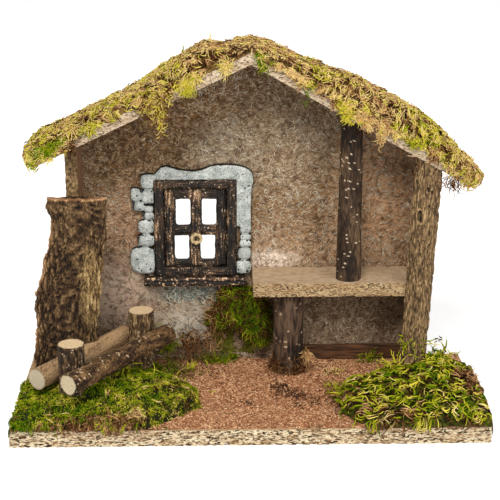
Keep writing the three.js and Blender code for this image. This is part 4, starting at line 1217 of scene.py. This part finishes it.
def lay_on_board(places, height, lift):
    """Points over the base board, folding down over its front edge and its sides."""
    low, high = base_low, base_high
    x, y = places[..., 0], places[..., 1]
    out, down = fold(np.maximum(low[1] - y, 0), lift)
    out_side, down_side = fold(np.clip(np.abs(x) - high[0] + 1, 0, 2.5), 0.0, 0.8)
    x = np.sign(x) * (np.minimum(np.abs(x), high[0] - 1) + out_side)
    return xyz(x, np.maximum(y, low[1]) - out, floor_top + height - down - down_side)


def grown_on(dice, points, normals, count, allowed):
    """Places on a mound for strands to grow from."""
    chosen = dice.choice(np.flatnonzero(allowed), count)
    return points[chosen] + dice.normal(0, 0.4, (count, 3)), normals[chosen]


def tangle(heap, dice, middle, reach, count, lengths, tints, radius, bend, heading):
    """A knot of long roots or shoots around a place."""
    roots = np.asarray(middle) + dice.normal(0, 1, (count, 3)) * reach
    headings = np.asarray(heading) + dice.normal(0, 0.8, (count, 3))
    shape = strands(dice, roots, headings, dice.uniform(*lengths, count), radius, 7, bend, droop=0.1)
    shape[0][:, 1] = np.maximum(shape[0][:, 1], base_low[1] - 8)
    heap.add(shape, dice.uniform(*tints, count))


def front_fall(heap, dice, sheet, place, wide, amount, tints, lengths):
    """Strands that hang over the base board's front edge around a place."""
    across = place + dice.normal(0, wide / 2, amount)
    roots = np.stack([across, base_low[1] + dice.uniform(-1, 7, amount)], -1)
    shape = lying(dice, sheet, lay_on_board, roots, dice.normal(-math.pi / 2, 0.8, amount),
                  dice.normal(0, 1.6, amount), dice.uniform(*lengths, amount),
                  dice.uniform(0.35, 0.65, amount), dice.uniform(0.2, 1.6, amount))
    heap.add(shape, dice.uniform(*tints, amount))


def mound_sheet(points):
    """Heights of a bed's top above the sand, and the points of that top."""
    top = points[points[:, 2] > floor_top + 0.6]
    return Sheet(top[:, :2], top[:, 2] - floor_top), top


# The left bed ends at its front right along a slanting line through this place, which climbs by this slope
LEFT_BED_CORNER = (-50, -46)
LEFT_BED_SLANT = 0.95
# The right bed's back edge by place across, left of the post
RIGHT_BED_BACK = [(80, -2), (100, 5), (122, 9), (138, 24), (152, 80)]


def left_kept(points):
    """1 inside the left bed, 0 past its slanting front right side."""
    side = points[..., 1] - LEFT_BED_CORNER[1] - LEFT_BED_SLANT * (points[..., 0] - LEFT_BED_CORNER[0])
    return np.clip(side / 9 + 0.3 * noise(points, 9, seed=205), 0, 1)


def right_kept(points):
    """1 inside the right bed, 0 behind its back edge."""
    edge = read(RIGHT_BED_BACK, points[..., 0])
    return np.clip((edge - points[..., 1]) / 10 + 0.3 * noise(points, 9, seed=215), 0, 1)


# Height of the beds' moss as a share of the CAD solid's height, by place across
BED_HEIGHTS = [(80, 0.75), (115, 0.55), (148, 0.55), (168, 0.75), (200, 1.0)]


def pressed(kept):
    """Gives points lowered to the bed's heights, and pressed into the sand where nothing of it is kept."""
    def moved(points):
        share = kept(points)
        height = (points[:, 2] - floor_top) * read(BED_HEIGHTS, points[:, 0], left=1.0)
        points[:, 2] = floor_top + height * share - 0.9 * (1 - share)
        return points
    return moved


def ground_spot(points, middle, reach):
    """1 at a middle on the ground, falling to 0 at its reach along X and Y."""
    return soft_spot(points[:, [0, 2, 1]], middle, reach)


def left_tint(roots, dice):
    """Vivid green at the left, olive towards the right and brown low in the middle."""
    tint = 0.8 + 0.11 * noise(roots * [1, 1, 0], 9, seed=7) + dice.normal(0, 0.09, len(roots))
    tint -= 0.1 * (noise(roots * [1, 1, 0], 12, seed=9) > 0.45)
    far = np.clip((roots[:, 0] + 150) / 70, 0, 1)
    tint = tint - far * (0.02 + 0.12 * (noise(roots, 10, seed=8) > 0))
    brown = 0.9 * ground_spot(roots, (-130, -86), (36, 11)) + 0.5 * (noise(roots, 7, seed=10) > 0.6)
    brown += 0.35 * ground_spot(roots, (-70, -30), (30, 40))
    return browned(dice, tint, brown, 0.02, 0.2)


def right_tint(roots, dice):
    """Yellow-green curls, with olive and straw ones among them and brown roots at the right."""
    tint = 0.68 + 0.1 * noise(roots, 12, seed=17) + dice.normal(0, 0.09, len(roots))
    tint = browned(dice, tint, 0.07, 0.42, 0.54)
    brown = 0.04 + 1.2 * ground_spot(roots, (213, -30), (15, 44)) + 0.3 * (roots[:, 0] < 108)
    brown += 0.8 * ground_spot(roots, (138, -82), (30, 16))
    return browned(dice, tint, brown, 0.04, 0.22)


# Strands that hang over the board's front edge at the left bed: place across, width, count and tints
LEFT_FALLS = [
    (-208, 20, 60, (0.75, 0.95)), (-188, 14, 70, (0.04, 0.24)), (-158, 26, 120, (0.04, 0.2)),
    (-134, 14, 170, (0.04, 0.24)), (-136, 9, 90, (0.6, 0.84)), (-112, 12, 60, (0.04, 0.2)),
]
LEFT_SHOOTS = 25000
# Knots of strands in the left bed: middle, spread, count, lengths, tints, radius, bend and heading
LEFT_TANGLES = [
    ((-122, -84, 22), (10, 3, 3), 40, (14, 28), (0.1, 0.24), 0.65, 1.8, (0, -0.3, 0.2)),
    ((-109, -78, 27), (3.5, 2, 2.5), 70, (4, 10), (0.3, 0.44), 0.6, 1.8, (0, -0.5, 0.3)),
    ((-126, 8, 42), (2, 2, 2), 9, (14, 24), (0.58, 0.64), 1.2, 1.2, (0.5, -0.6, 0.4)),
    ((-110, -14, 30), (26, 16, 2), 40, (8, 16), (0.55, 0.68), 0.7, 1.8, (0.5, -0.3, 0.1)),
    ((-92, 34, 21), (22, 12, 2.5), 520, (3, 9), (0.0, 0.2), 0.4, 1.8, (0.1, -0.3, 0.2)),
    ((-96, 32, 23), (20, 12, 2.5), 520, (3, 7), (0.7, 0.95), 0.4, 1.8, (0.1, -0.3, 0.3)),
    ((-84, 60, 44), (5, 5, 6), 260, (4, 10), (0.6, 0.85), 0.45, 1.8, (0.1, -0.6, 0.1)),
]


def left_bed():
    """Cushions of short leafy shoots with dark gaps between, and roots, tufts and long sprigs among them."""
    dice = np.random.default_rng(201)
    points, normals, gaps = mound("left_moss_bed", 1.5, 1.9, 201, "left_moss_litter", "floor_moss",
                                  reshaped=pressed(left_kept), cushion=8)
    sheet, top = mound_sheet(points)
    heap = Heap()
    allowed = (normals[:, 2] > -0.2) & (gaps < 0.84) & (left_kept(points) > 0.12)
    roots, facing = grown_on(dice, points, normals, LEFT_SHOOTS, allowed)
    headings = facing * 0.6 + dice.normal(0, 0.8, roots.shape)
    shape = strands(dice, roots, headings, dice.uniform(1.2, 3.2, len(roots)),
                    dice.uniform(0.28, 0.5, len(roots)), joints=2, leaf=True)
    heap.add(shape, left_tint(roots, dice))
    middles = top[dice.choice(len(top), 260), :2]
    middles = middles[left_kept(xyz(*middles.T, 0)) > 0.3]
    count = len(middles)
    turns = dice.uniform(0, 6.3, count)
    bundles(heap, dice, sheet, lay_on_board, middles, 5, turns, 1.4, (4, 10), (0.3, 0.55), (0.4, 2.0),
            left_tint(xyz(*middles.T, 0), dice) - 0.05, width=1.0)
    for row in LEFT_FALLS:
        front_fall(heap, dice, sheet, *row, (3, 9))
    for row in LEFT_TANGLES:
        tangle(heap, dice, *row)
    heap.piece("left_moss_strands", moss, "floor_moss")


# The same at the right bed, with their lengths
RIGHT_FALLS = [
    (160, 9, 90, (0.6, 0.85), (4, 10)),
    (205, 16, 60, (0.02, 0.14), (5, 10)),
    (118, 12, 40, (0.06, 0.3), (5, 12)),
]
# Layers of the right bed: places, strands at each, curl, lengths, radii, lifts and whether they are old
RIGHT_LAYERS = [
    (1500, 1, 1.2, (6, 14), (0.5, 0.8), (0.1, 1.2), True),
    (700, 1, 3.0, (9, 17), (0.8, 1.25), (0.6, 4.4), False),
    (120, 5, 1.8, (8, 15), (0.5, 0.85), (1.0, 4.0), False),
    (260, 1, 1.6, (4, 8), (0.5, 0.8), (1.5, 4.5), False),
]
# Knots of strands in the right bed: middle, spread, count, lengths, tints, radius, bend and heading
RIGHT_TANGLES = [
    ((121, -86, 24), (1.5, 1, 2), 6, (12, 18), (0.3, 0.44), 0.7, 0.6, (0.1, -0.2, -0.6)),
    ((188, 24, 39), (7, 5, 3), 130, (6, 11), (0.5, 0.84), 0.8, 2.6, (0.1, 0, 0.5)),
    ((198, 30, 44), (3, 3, 2), 6, (9, 15), (0.6, 0.72), 1.2, 1.0, (0.2, 0, 1.3)),
    ((176, 20, 58), (1, 1, 1), 2, (18, 24), (0.5, 0.7), 0.8, 1.2, (2.2, -0.2, 0.8)),
    ((191, 20, 61), (1.4, 1, 1), 5, (3, 5), (0.02, 0.1), 0.8, 1.8, (0.5, 0, 0)),
    ((143, 16, 32), (5, 4, 4), 26, (10, 22), (0.5, 0.64), 0.9, 1.2, (-0.1, -0.1, 1.0)),
    ((213, -24, 31), (4, 15, 5), 260, (5, 13), (0.1, 0.26), 0.5, 1.8, (0.3, -0.3, 0.3)),
    ((92, -2, 19), (12, 8, 1), 90, (4, 9), (0.55, 0.78), 0.5, 1.8, (-0.3, -0.2, 0.2)),
    ((86, -20, 18), (8, 14, 0.6), 70, (4, 10), (0.02, 0.16), 0.45, 1.8, (-0.3, -0.2, 0.1)),
    ((166, 22, 55), (6, 2, 6), 90, (5, 10), (0.56, 0.78), 0.75, 1.8, (-0.4, -0.8, 0.2)),
    ((126, 66, 22), (5, 2, 4), 90, (4, 8), (0.55, 0.9), 0.4, 1.8, (0, -0.4, 0.2)),
    ((88, 34, 19), (5, 3, 1), 30, (5, 10), (0.26, 0.5), 0.45, 1.8, (0, -0.2, 0.3)),
    ((192, 34, 18.5), (12, 9, 0.8), 320, (4, 9), (0.5, 0.9), 0.7, 2.6, (0, 0, 0.2)),
    ((190, 30, 22), (9, 7, 1.5), 220, (4, 9), (0.5, 0.9), 0.7, 2.6, (0, 0, 0.2)),
    ((186, 27, 26), (6, 5, 2), 140, (4, 9), (0.5, 0.9), 0.7, 2.6, (0, 0, 0.2)),
]


def right_bed():
    """Thick curling strands that lie over each other, with dark gaps between."""
    dice = np.random.default_rng(211)
    points, normals, _ = mound("right_moss_bed", 1.6, 2.0, 211, "right_moss_litter", "floor_moss",
                               reshaped=pressed(right_kept))
    sheet, top = mound_sheet(points)
    heap = Heap()
    for amount, size, curl, lengths, radius, lift, old in RIGHT_LAYERS:
        middles = top[dice.choice(len(top), amount), :2]
        if not old:
            middles = middles[noise(xyz(*middles.T, 0), 8, seed=216) > -0.42]
        amount = len(middles)
        tints = dark_tints(dice, amount) if old else right_tint(xyz(*middles.T, 0), dice)
        turns = dice.uniform(0, 6.3, amount)
        bundles(heap, dice, sheet, lay_on_board, middles, size, turns, curl, lengths, radius, lift, tints,
                width=1.0, arch=2.4, joints=8, odd=0.06)
    for row in RIGHT_FALLS:
        front_fall(heap, dice, sheet, *row)
    for row in RIGHT_TANGLES:
        tangle(heap, dice, *row)
    heap.piece("right_moss_strands", moss, "floor_moss")


# Where the wall shows through its clump of moss: middles and reaches
WALL_SHOWS = [((-27, 39), (34, 23)), ((-43, 94), (18, 26)), ((14, 23), (28, 17))]


def wall_tint(roots, dice):
    """Dark olive with bright green lights, browner at the left."""
    tint = 0.85 + 0.09 * noise(roots, 12, seed=27) + dice.normal(0, 0.07, len(roots))
    tint -= (noise(roots, 6, seed=28) > 0.4) * dice.uniform(0.05, 0.2, len(roots))
    brown = 0.5 + np.clip((-12 - roots[:, 0]) / 60, 0, 0.3) + 0.45 * noise(roots, 8, seed=29)
    return browned(dice, tint, brown, 0.0, 0.14)


def wall_kept(points):
    """1 inside the wall's clump, 0 where the wall shows, and ragged between."""
    bare = 1.7 * sum(soft_spot(points, *place) for place in WALL_SHOWS) + 0.5 * noise(points, 7, seed=225)
    return np.clip(1.6 - 2.6 * bare, 0, 1)


# Knots of strands in the wall's clump: middle, spread, count, lengths, tints, radius, bend and heading
WALL_TANGLES = [
    ((-56, 66, 38), (9, 4, 9), 130, (12, 30), (0.03, 0.2), 0.45, 1.8, (0, -0.3, 0.4)),
    ((-31, 68, 21), (9, 2.5, 3), 240, (3, 8), (0.62, 0.92), 0.4, 1.8, (0, -0.4, 0.3)),
    ((-32, 70, 62), (6, 3, 16), 90, (10, 24), (0.08, 0.3), 0.4, 1.8, (-0.5, -0.5, -0.4)),
    ((-58, 44, 19), (2, 2, 1), 16, (6, 14), (0.5, 0.66), 0.6, 0.6, (0, 0, 1.6)),
]


def wall_moss():
    dice = np.random.default_rng(221)

    def thinned(points):
        behind = wall_front + 1 - points[:, 1]
        points[:, 1] += behind * (1 - wall_kept(points)) * (points[:, 1] < wall_front)
        return points

    points, normals, _ = mound("wall_moss", 1.5, 2.6, 221, "wall_moss_litter", "floor_moss", reshaped=thinned)
    allowed = (normals[:, 1] < 0.3) & (wall_kept(points) > 0.5)
    roots, facing = grown_on(dice, points, normals, 4600, allowed)
    headings = facing * 0.5 + dice.normal([0, -0.2, -0.5], 0.6, roots.shape)
    heap = Heap()
    shape = strands(dice, roots, headings, dice.uniform(3, 11, len(roots)),
                    dice.uniform(0.28, 0.55, len(roots)), joints=4, bend=1.4, droop=0.2)
    heap.add(shape, wall_tint(roots, dice))
    for row in WALL_TANGLES:
        tangle(heap, dice, *row)
    heap.piece("wall_moss_strands", moss, "floor_moss")


# Height of the litter above each roof board, by share of the way from the ridge to the eave
LEFT_LITTER = [(0, 1), (0.08, 5), (0.16, 15), (0.28, 15), (0.36, 11.5), (0.46, 8), (0.54, 6), (0.84, 4),
               (0.92, 6), (1, 3)]
RIGHT_LITTER = [(0, 1), (0.1, 5.5), (0.22, 9), (0.3, 12.5), (0.38, 18), (0.6, 20), (0.78, 17), (0.86, 11),
                (0.92, 4), (1, 2)]
# By place across: how far behind the roof's front edge the moss starts, and how far down it folds
BARE_FRONT = [(-205, 0), (-165, 0), (-158, 7), (-150, 2), (-128, 2), (-120, 8), (-106, 6), (-98, 0), (-80, 0),
              (-75, 9), (-68, 9), (-62, 1), (-48, 1), (-40, 7), (-6, 9), (16, 5), (60, 3), (90, 0), (150, 1),
              (160, 5), (186, 4), (195, 0), (220, 0)]
FOLDED = [(-205, 12), (-174, 11), (-166, 0), (-152, 2), (-128, 2), (-118, 0), (-102, 4), (-82, 5), (-74, 0),
          (-64, 6), (-50, 5), (-42, 0), (2, 0), (20, 3), (60, 2), (80, 3), (92, 8), (120, 9), (138, 3),
          (150, 0), (184, 0), (196, 8), (215, 13)]
# Tint of the roof's moss by place across
ROOF_TINTS = [(-205, 0.5), (-168, 0.4), (-140, 0.48), (-112, 0.42), (-75, 0.44), (-40, 0.38), (0, 0.32),
              (30, 0.37), (60, 0.46), (92, 0.37), (125, 0.34), (142, 0.44), (156, 0.6), (174, 0.58),
              (188, 0.44), (204, 0.38), (216, 0.3)]
# Strands that pass a slope's end fold down round it, with this radius and this share of their lift
EAVE_ROUNDING = 1.2
EAVE_LIFT = 0.3


class Slope:
    """One roof slope. A place on it is a distance down from the ridge and one back from the front edge."""

    def __init__(self, side, heights):
        self.side, self.heights = side, heights
        self.ridge, eave = roof_left[[2, 3]] if side < 0 else roof_right[[3, 2]]
        self.length = np.linalg.norm(eave - self.ridge)
        self.down = (eave - self.ridge) / self.length
        self.up = np.array([abs(self.down[1]) * side, abs(self.down[0])])
        self.depth = roof_back - roof_front

    def local(self, points):
        """Distances down the slope, back from the front edge and out from the board."""
        away = points[:, [0, 2]] - self.ridge
        return np.stack([away @ self.down, points[:, 1] - roof_front, away @ self.up], -1)

    def across(self, down):
        return self.ridge[0] + self.down[0] * np.minimum(down, self.length)

    def pressed(self, points):
        """The mat's points pressed down to the litter's heights, and almost flat along its bare front."""
        local = self.local(points)
        share = np.clip(local[:, 0] / self.length, 0, 1) * 40
        tallest = np.ones(41)
        np.maximum.at(tallest, np.round(share).astype(int), local[:, 2])
        target = read(self.heights, share / 40) / np.interp(share, np.arange(41), tallest)
        bare = read(BARE_FRONT, self.across(local[:, 0]))
        front = np.clip(0.3 + (local[:, 1] - bare) / 14, 0.06, 1)
        change = (np.minimum(target * front, 1) - 1) * np.maximum(local[:, 2], 0)
        past = 0.7 * np.maximum(local[:, 0] - self.length, 0)
        up, down = np.insert(self.up, 1, 0.0), np.insert(self.down, 1, 0.0)
        return points + change[:, None] * up - past[:, None] * down

    def lay(self, places, height, lift):
        """Points over the slope, folding over its front edge and its eave."""
        down, back = places[..., 0], places[..., 1]
        out, fallen = fold(np.maximum(-back, 0), lift)
        past, sunk = fold(np.maximum(down - self.length, 0), lift * EAVE_LIFT, EAVE_ROUNDING)
        rise = height - fallen - sunk - lift * EAVE_LIFT
        x = self.across(down)
        z = roof_top(x) + self.down[1] * past + self.up[1] * rise
        x = x + self.down[0] * past + self.up[0] * rise * np.clip(down / 12, 0, 1)
        return xyz(x, roof_front + np.clip(back, 0, self.depth) - out, z)


def roof_tint(across, dice):
    """Straw, yellow and green by place across, in patches, with brown bundles among them."""
    places = xyz(across, dice.uniform(0, 90, len(across)), 0)
    tint = read(ROOF_TINTS, across) + 0.12 * noise(places, (12, 16, 12), seed=37)
    tint += dice.normal(0, 0.1, len(across))
    return browned(dice, tint, 0.17, 0.0, 0.2)


# Layers of the roof's moss: places, strands at each, fan, curl, lengths, radii, lifts and whether they're old
ROOF_LAYERS = [
    (2400, 1, 0.8, 0.8, (5, 12), (0.4, 0.7), (0.1, 0.7), True),
    (820, 8, 0.5, 1.0, (4, 10), (0.28, 0.52), (0.3, 3.4), False),
    (2600, 1, 1.2, 2.0, (3, 8), (0.36, 0.66), (1.2, 4.4), False),
]


def roof_mat(heap, dice, slope, sheet):
    """Old dark strands, bundles of bright ones that run along the slope over them, and short curls on top."""
    for amount, size, fan, curl, lengths, radius, lift, old in ROOF_LAYERS:
        down = dice.uniform(-3, slope.length, amount)
        middles = np.stack([down, dice.uniform(-3, slope.depth - 1, amount)], -1)
        bare = read(BARE_FRONT, slope.across(down))
        middles = middles[(middles[:, 1] > bare) | (dice.uniform(0, 1, amount) < 0.12)]
        if not old:
            middles = middles[noise(xyz(*middles.T, 0), 5.5, seed=243) > -0.5]
        count = len(middles)
        tints = dice.uniform(0, 0.13, count) if old else roof_tint(slope.across(middles[:, 0]), dice)
        turns = dice.choice([0, math.pi], count) + dice.normal(0, fan, count)
        bundles(heap, dice, sheet, slope.lay, middles, size, turns, curl, lengths, radius, lift, tints,
                arch=2.2)


def roof_edges(heap, dice, slope, sheet):
    """Bundles that fold over the front edge, and others over the eave's end."""
    count = 210
    down = dice.uniform(-3, slope.length + 1, count)
    folded = read(FOLDED, slope.across(down))
    height = sheet.at(np.stack([down, np.zeros(count)], -1))
    back = -dice.uniform(0, 1, count) * (height + folded)
    middles = np.stack([down, back], -1)[read(BARE_FRONT, slope.across(down)) < 5.5]
    count = len(middles)
    turns = dice.choice([0, math.pi], count) + dice.normal(0, 0.45, count)
    bundles(heap, dice, sheet, slope.lay, middles, 8, turns, 1.0, (3, 8), (0.28, 0.52), (0.1, 1.8),
            roof_tint(slope.across(middles[:, 0]), dice), width=1.2)
    count = 80
    down = slope.length + dice.uniform(-10, 1.5, count)
    middles = np.stack([down, dice.uniform(-6, slope.depth - 2, count)], -1)
    bundles(heap, dice, sheet, slope.lay, middles, 10, dice.uniform(0, 6.3, count), 1.6, (3, 8), (0.3, 0.55),
            (0.1, 2.2), roof_tint(slope.across(down), dice), width=1.4, odd=0.25)


# Tufts over the roof's front edge: place across, width, drop below the board's top, count and range of tints
TUFTS = [(-201, 9, 8, 150, (0.66, 0.86)), (-190, 13, 8, 260, (0.66, 0.86)), (-178, 9, 6, 130, (0.66, 0.86)),
         (-198, 14, 15, 40, (0.26, 0.42)), (-168, 5, 20, 110, (0.0, 0.12)), (-150, 14, 8, 150, (0.42, 0.74)),
         (-91, 25, 22, 200, (0.04, 0.2)), (-91, 25, 22, 170, (0.42, 0.6)), (-84, 20, 34, 260, (0.04, 0.2)),
         (-84, 20, 34, 230, (0.42, 0.6)), (-83, 7, 50, 100, (0.06, 0.22)), (-83, 7, 50, 80, (0.42, 0.56)),
         (-57, 17, 14, 300, (0.5, 0.66)), (-21, 9, 14, 130, (0.34, 0.5)), (13, 12, 15, 150, (0.6, 0.9)),
         (14, 8, 10, 60, (0.3, 0.42)),
         (50, 10, 9, 60, (0.1, 0.5)), (79, 6, 14, 40, (0.1, 0.26)), (92, 17, 19, 320, (0.5, 0.62)),
         (110, 18, 12, 200, (0.2, 0.44)), (127, 16, 15, 170, (0.18, 0.42)), (124, 8, 26, 50, (0.2, 0.4)),
         (156, 16, 6, 160, (0.56, 0.74)), (176, 10, 12, 90, (0.1, 0.34)), (211, 10, 17, 240, (0.1, 0.74)),
         (200, 12, 20, 60, (0.0, 0.24)), (55, 6, 26, 24, (0.74, 0.88))]
# Small upright shoots on the roof: place across, place back, height and tint
SHOOTS = [(-75, 58, 9, 0.6), (-64, 62, 17, 0.72), (-37, 62, 12, 0.44), (-42, 60, 7, 0.56),
          (165, 58, 12, 0.06), (182, 58, 13, 0.56), (201, 58, 7, 0.2)]
SHOOT_LEAVES = 34


def tuft(heap, dice, place, width, drop, amount, tints):
    """Curls that crowd where they leave the roof and narrow to a point below it."""
    fallen = dice.triangular(0, 0, 1, amount)
    x = place + dice.normal(0, 0.32, amount) * width * (1 - 0.7 * fallen)
    z = roof_top(x) + 3.0 - fallen * (drop + 1.5)
    roots = xyz(x, roof_front - dice.uniform(0.8, 3.8, amount), z)
    headings = dice.normal([0, 0, -0.5], [0.8, 0.2, 0.6], (amount, 3))
    shape = strands(dice, roots, headings, dice.uniform(4, 9, amount), dice.uniform(0.3, 0.55, amount),
                    joints=6, bend=2.0)
    shape[0][:, 1] = np.minimum(shape[0][:, 1], roof_front - 0.2)
    heap.add(shape, dice.uniform(*tints, amount))


def shoot(heap, dice, root, height, tint):
    """A small upright shoot with leaves all the way up its stem."""
    up = dice.uniform(0, 1, SHOOT_LEAVES)
    turn = dice.uniform(0, 2 * math.pi, SHOOT_LEAVES)
    heap.add(strands(dice, root[None], [[0.1, 0, 1]], [height], 0.9, bend=0.2), np.array([tint]))
    roots = root + xyz(0.1 * up * height, 0, up * height * 0.95)
    headings = xyz(np.cos(turn), np.sin(turn), 1.6)
    shape = strands(dice, roots, headings, 3.6 - 2.0 * up, 0.5, bend=0.3, leaf=True, flat=0.5)
    heap.add(shape, tint + dice.normal(0, 0.06, SHOOT_LEAVES))


def roof_moss():
    for node, slope, seed in (("left_roof_moss", Slope(-1, LEFT_LITTER), 231),
                              ("right_roof_moss", Slope(1, RIGHT_LITTER), 241)):
        dice = np.random.default_rng(seed)
        name = node.replace("_moss", "")
        points, _, _ = mound(node, 1.6, 1.5, seed, name + "_litter", "roof_moss", reshaped=slope.pressed)
        local = slope.local(points)
        above = local[:, 2] > 0.2
        sheet = Sheet(local[above, :2], local[above, 2])
        heap = Heap()
        roof_mat(heap, dice, slope, sheet)
        roof_edges(heap, dice, slope, sheet)
        for place, width, drop, amount, tints in TUFTS:
            if (place < ridge_x) == (slope.side < 0):
                tuft(heap, dice, place, width, drop, amount, tints)
        for place, back, height, tint in SHOOTS:
            if (place < ridge_x) == (slope.side < 0):
                root = np.array([place, roof_front + back, float(roof_top(place))])
                root[2] += sheet.at(slope.local(root[None])[:, :2])[0] - 2
                shoot(heap, dice, root, height, tint)
        if slope.side > 0:
            middle = (197, roof_front + 3, 224)
            tangle(heap, dice, middle, (6, 4, 3), 70, (9, 17), (0.02, 0.2), 0.4, 2.6, (0, -0.1, -0.5))
        heap.piece(name + "_strands", roof_strands, "roof_moss")


# Twigs, bark bits and a pale stick on the roof: two ends, how far back, radius and tint
ROOF_TWIGS = [((-148, 273), (-128, 284), 44, 1.1, 0.5), ((38, 336), (50, 331), 34, 1.5, 0.8),
              ((64, 320), (79, 311), 14, 0.9, 0.1), ((78, 306), (79, 290), -2.6, 0.7, 0.2),
              ((172, 254), (192, 240), 40, 0.8, 0.0), ((150, 252), (166, 252), -2.6, 1.6, 0.75),
              ((166, 253), (172, 260), 12, 1.8, 0.3), ((164, 246), (158, 233), -2.6, 1.6, 0.15),
              ((-84, 315), (-68, 322), 24, 1.8, 0.0), ((176, 256), (160, 262), 16, 1.2, 0.4),
              ((-171, 262), (-168, 248), -2.6, 1.8, 0.02), ((-120, 290), (-112, 294), 44, 2.6, 0.85)]


def twigs():
    """Short bent twigs and curled dead leaves that lie on the moss and against its front."""
    dice = np.random.default_rng(251)
    look = Look("dead_leaf", 0.7)
    tone = look.ramp(look.value("tint"), (0.0, "26160e"), (0.2, "703e24"), (0.45, "ba8c5c"), (1.0, "e8d6b8"))
    look.colour(look.mix(look.times(look.noise(1.6, detail=4), 0.6), tone, "543620"))
    heap = Heap()
    for start, end, back, radius, tint in ROOF_TWIGS:
        share = np.linspace(0, 1, 9)[:, None]
        flat = np.array(start) + share * (np.array(end) - np.array(start))
        bow = np.sin(math.pi * share[:, 0]) * radius
        path = xyz(flat[:, 0], roof_front + back - bow, flat[:, 1] + bow * dice.uniform(-1, 1))
        shape = tubes(dice, path[None] + dice.normal(0, 0.25, (1, 9, 3)), radius, leaf=True, flat=0.5)
        heap.add(shape, np.array([tint]))
    heap.piece("roof_twigs", look, "roof_moss")


# Stage


def add_camera():
    camera = bpy.data.cameras.new("camera")
    camera.lens = FOCAL_PX / PICTURE_PX * SENSOR
    camera.sensor_width = SENSOR
    camera.clip_end = 20.0
    made = placed("camera", camera)
    turn = Matrix.Rotation(-CAMERA_YAW, 4, "Z") @ Matrix.Rotation(math.pi / 2 - CAMERA_PITCH, 4, "X")
    at = Matrix.Translation([c * MM for c in CAMERA_AT])
    made.matrix_world = at @ turn @ Matrix.Rotation(CAMERA_ROLL, 4, "Z")
    bpy.context.scene.camera = made


LAMP_COLOUR = (1.0, 0.94, 0.86)


def add_lamp(name, place, size, power):
    """A square soft lamp that faces the stable's middle, at a place in metres."""
    lamp = bpy.data.lights.new(name, "AREA")
    lamp.size = size
    lamp.energy = power
    lamp.color = LAMP_COLOUR
    made = placed(name, lamp)
    aim = np.array([0, 0, 0.15]) - np.array(place)
    made.matrix_world = Matrix.Translation(place) @ Vector(aim).to_track_quat("-Z", "Y").to_matrix().to_4x4()


def seen_directly(tree):
    """1 for rays from the camera and for reflections or refractions of the stage."""
    path = tree.nodes.new("ShaderNodeLightPath")
    total = path.outputs["Is Camera Ray"]
    for name in ("Is Glossy Ray", "Is Transmission Ray"):
        add = tree.nodes.new("ShaderNodeMath")
        add.operation = "MAXIMUM"
        tree.links.new(total, add.inputs[0])
        tree.links.new(path.outputs[name], add.inputs[1])
        total = add.outputs["Value"]
    return total


AMBIENT = 0.42
FLOOR_GLOW = 0.5
# Metres from the floor's middle to its sides
FLOOR_REACH = 3.0


def add_stage():
    world = bpy.data.worlds.new("studio")
    bpy.context.scene.world = world
    world.use_nodes = True
    tree = world.node_tree
    background = tree.nodes["Background"]
    background.inputs["Color"].default_value = (1, 1, 1, 1)
    strength = tree.nodes.new("ShaderNodeMapRange")
    strength.inputs["To Min"].default_value = AMBIENT
    strength.inputs["To Max"].default_value = 1.0
    tree.links.new(seen_directly(tree), strength.inputs["Value"])
    tree.links.new(strength.outputs["Result"], background.inputs["Strength"])

    mesh = bpy.data.meshes.new("floor")
    signs = ((-1, -1), (1, -1), (1, 1), (-1, 1))
    mesh.from_pydata([(x * FLOOR_REACH, y * FLOOR_REACH, 0) for x, y in signs], [], [(0, 1, 2, 3)])
    floor = placed("floor", mesh)
    look = Look("pale_floor", 1.0)
    look.shader.inputs["Specular IOR Level"].default_value = 0.0
    look.colour("ececec")
    look.shader.inputs["Emission Color"].default_value = (1, 1, 1, 1)
    glow = look.node("MapRange", {"Value": seen_directly(look.tree), "To Max": FLOOR_GLOW}).outputs["Result"]
    far = look.node("TexGradient", {"Vector": look.scaled((1400,))}, gradient_type="SPHERICAL").outputs["Fac"]
    lit = look.mask(far, 0.55, 0.15)
    look.feed(look.shader.inputs["Emission Strength"], look.sum(glow, look.times(lit, 0.5)))
    mesh.materials.append(look.material)

    add_lamp("key", (-0.5, -1.7, 2.1), 0.9, 52)
    add_lamp("fill", (1.3, -1.9, 1.2), 1.2, 25)
    bpy.context.scene.view_settings.view_transform = "Standard"


moss = moss_look("moss", "686454")
roof_strands = moss_look("roof_strands", "e2d8c8")
litters = {
    "floor_moss": litter_look("bed_litter", "2c2e0c", "525614", "78702c"),
    "roof_moss": litter_look("roof_litter", "3a2a14", "6e5428", "aa884c"),
}

add_camera()
add_stage()
boards()
wall()
sand()
batten()
roof_trunk()
loft_trunk()
bark_post()
cork_slab()
fence()
window_timber()
stone_surround()
ring()
left_bed()
right_bed()
wall_moss()
roof_moss()
twigs()
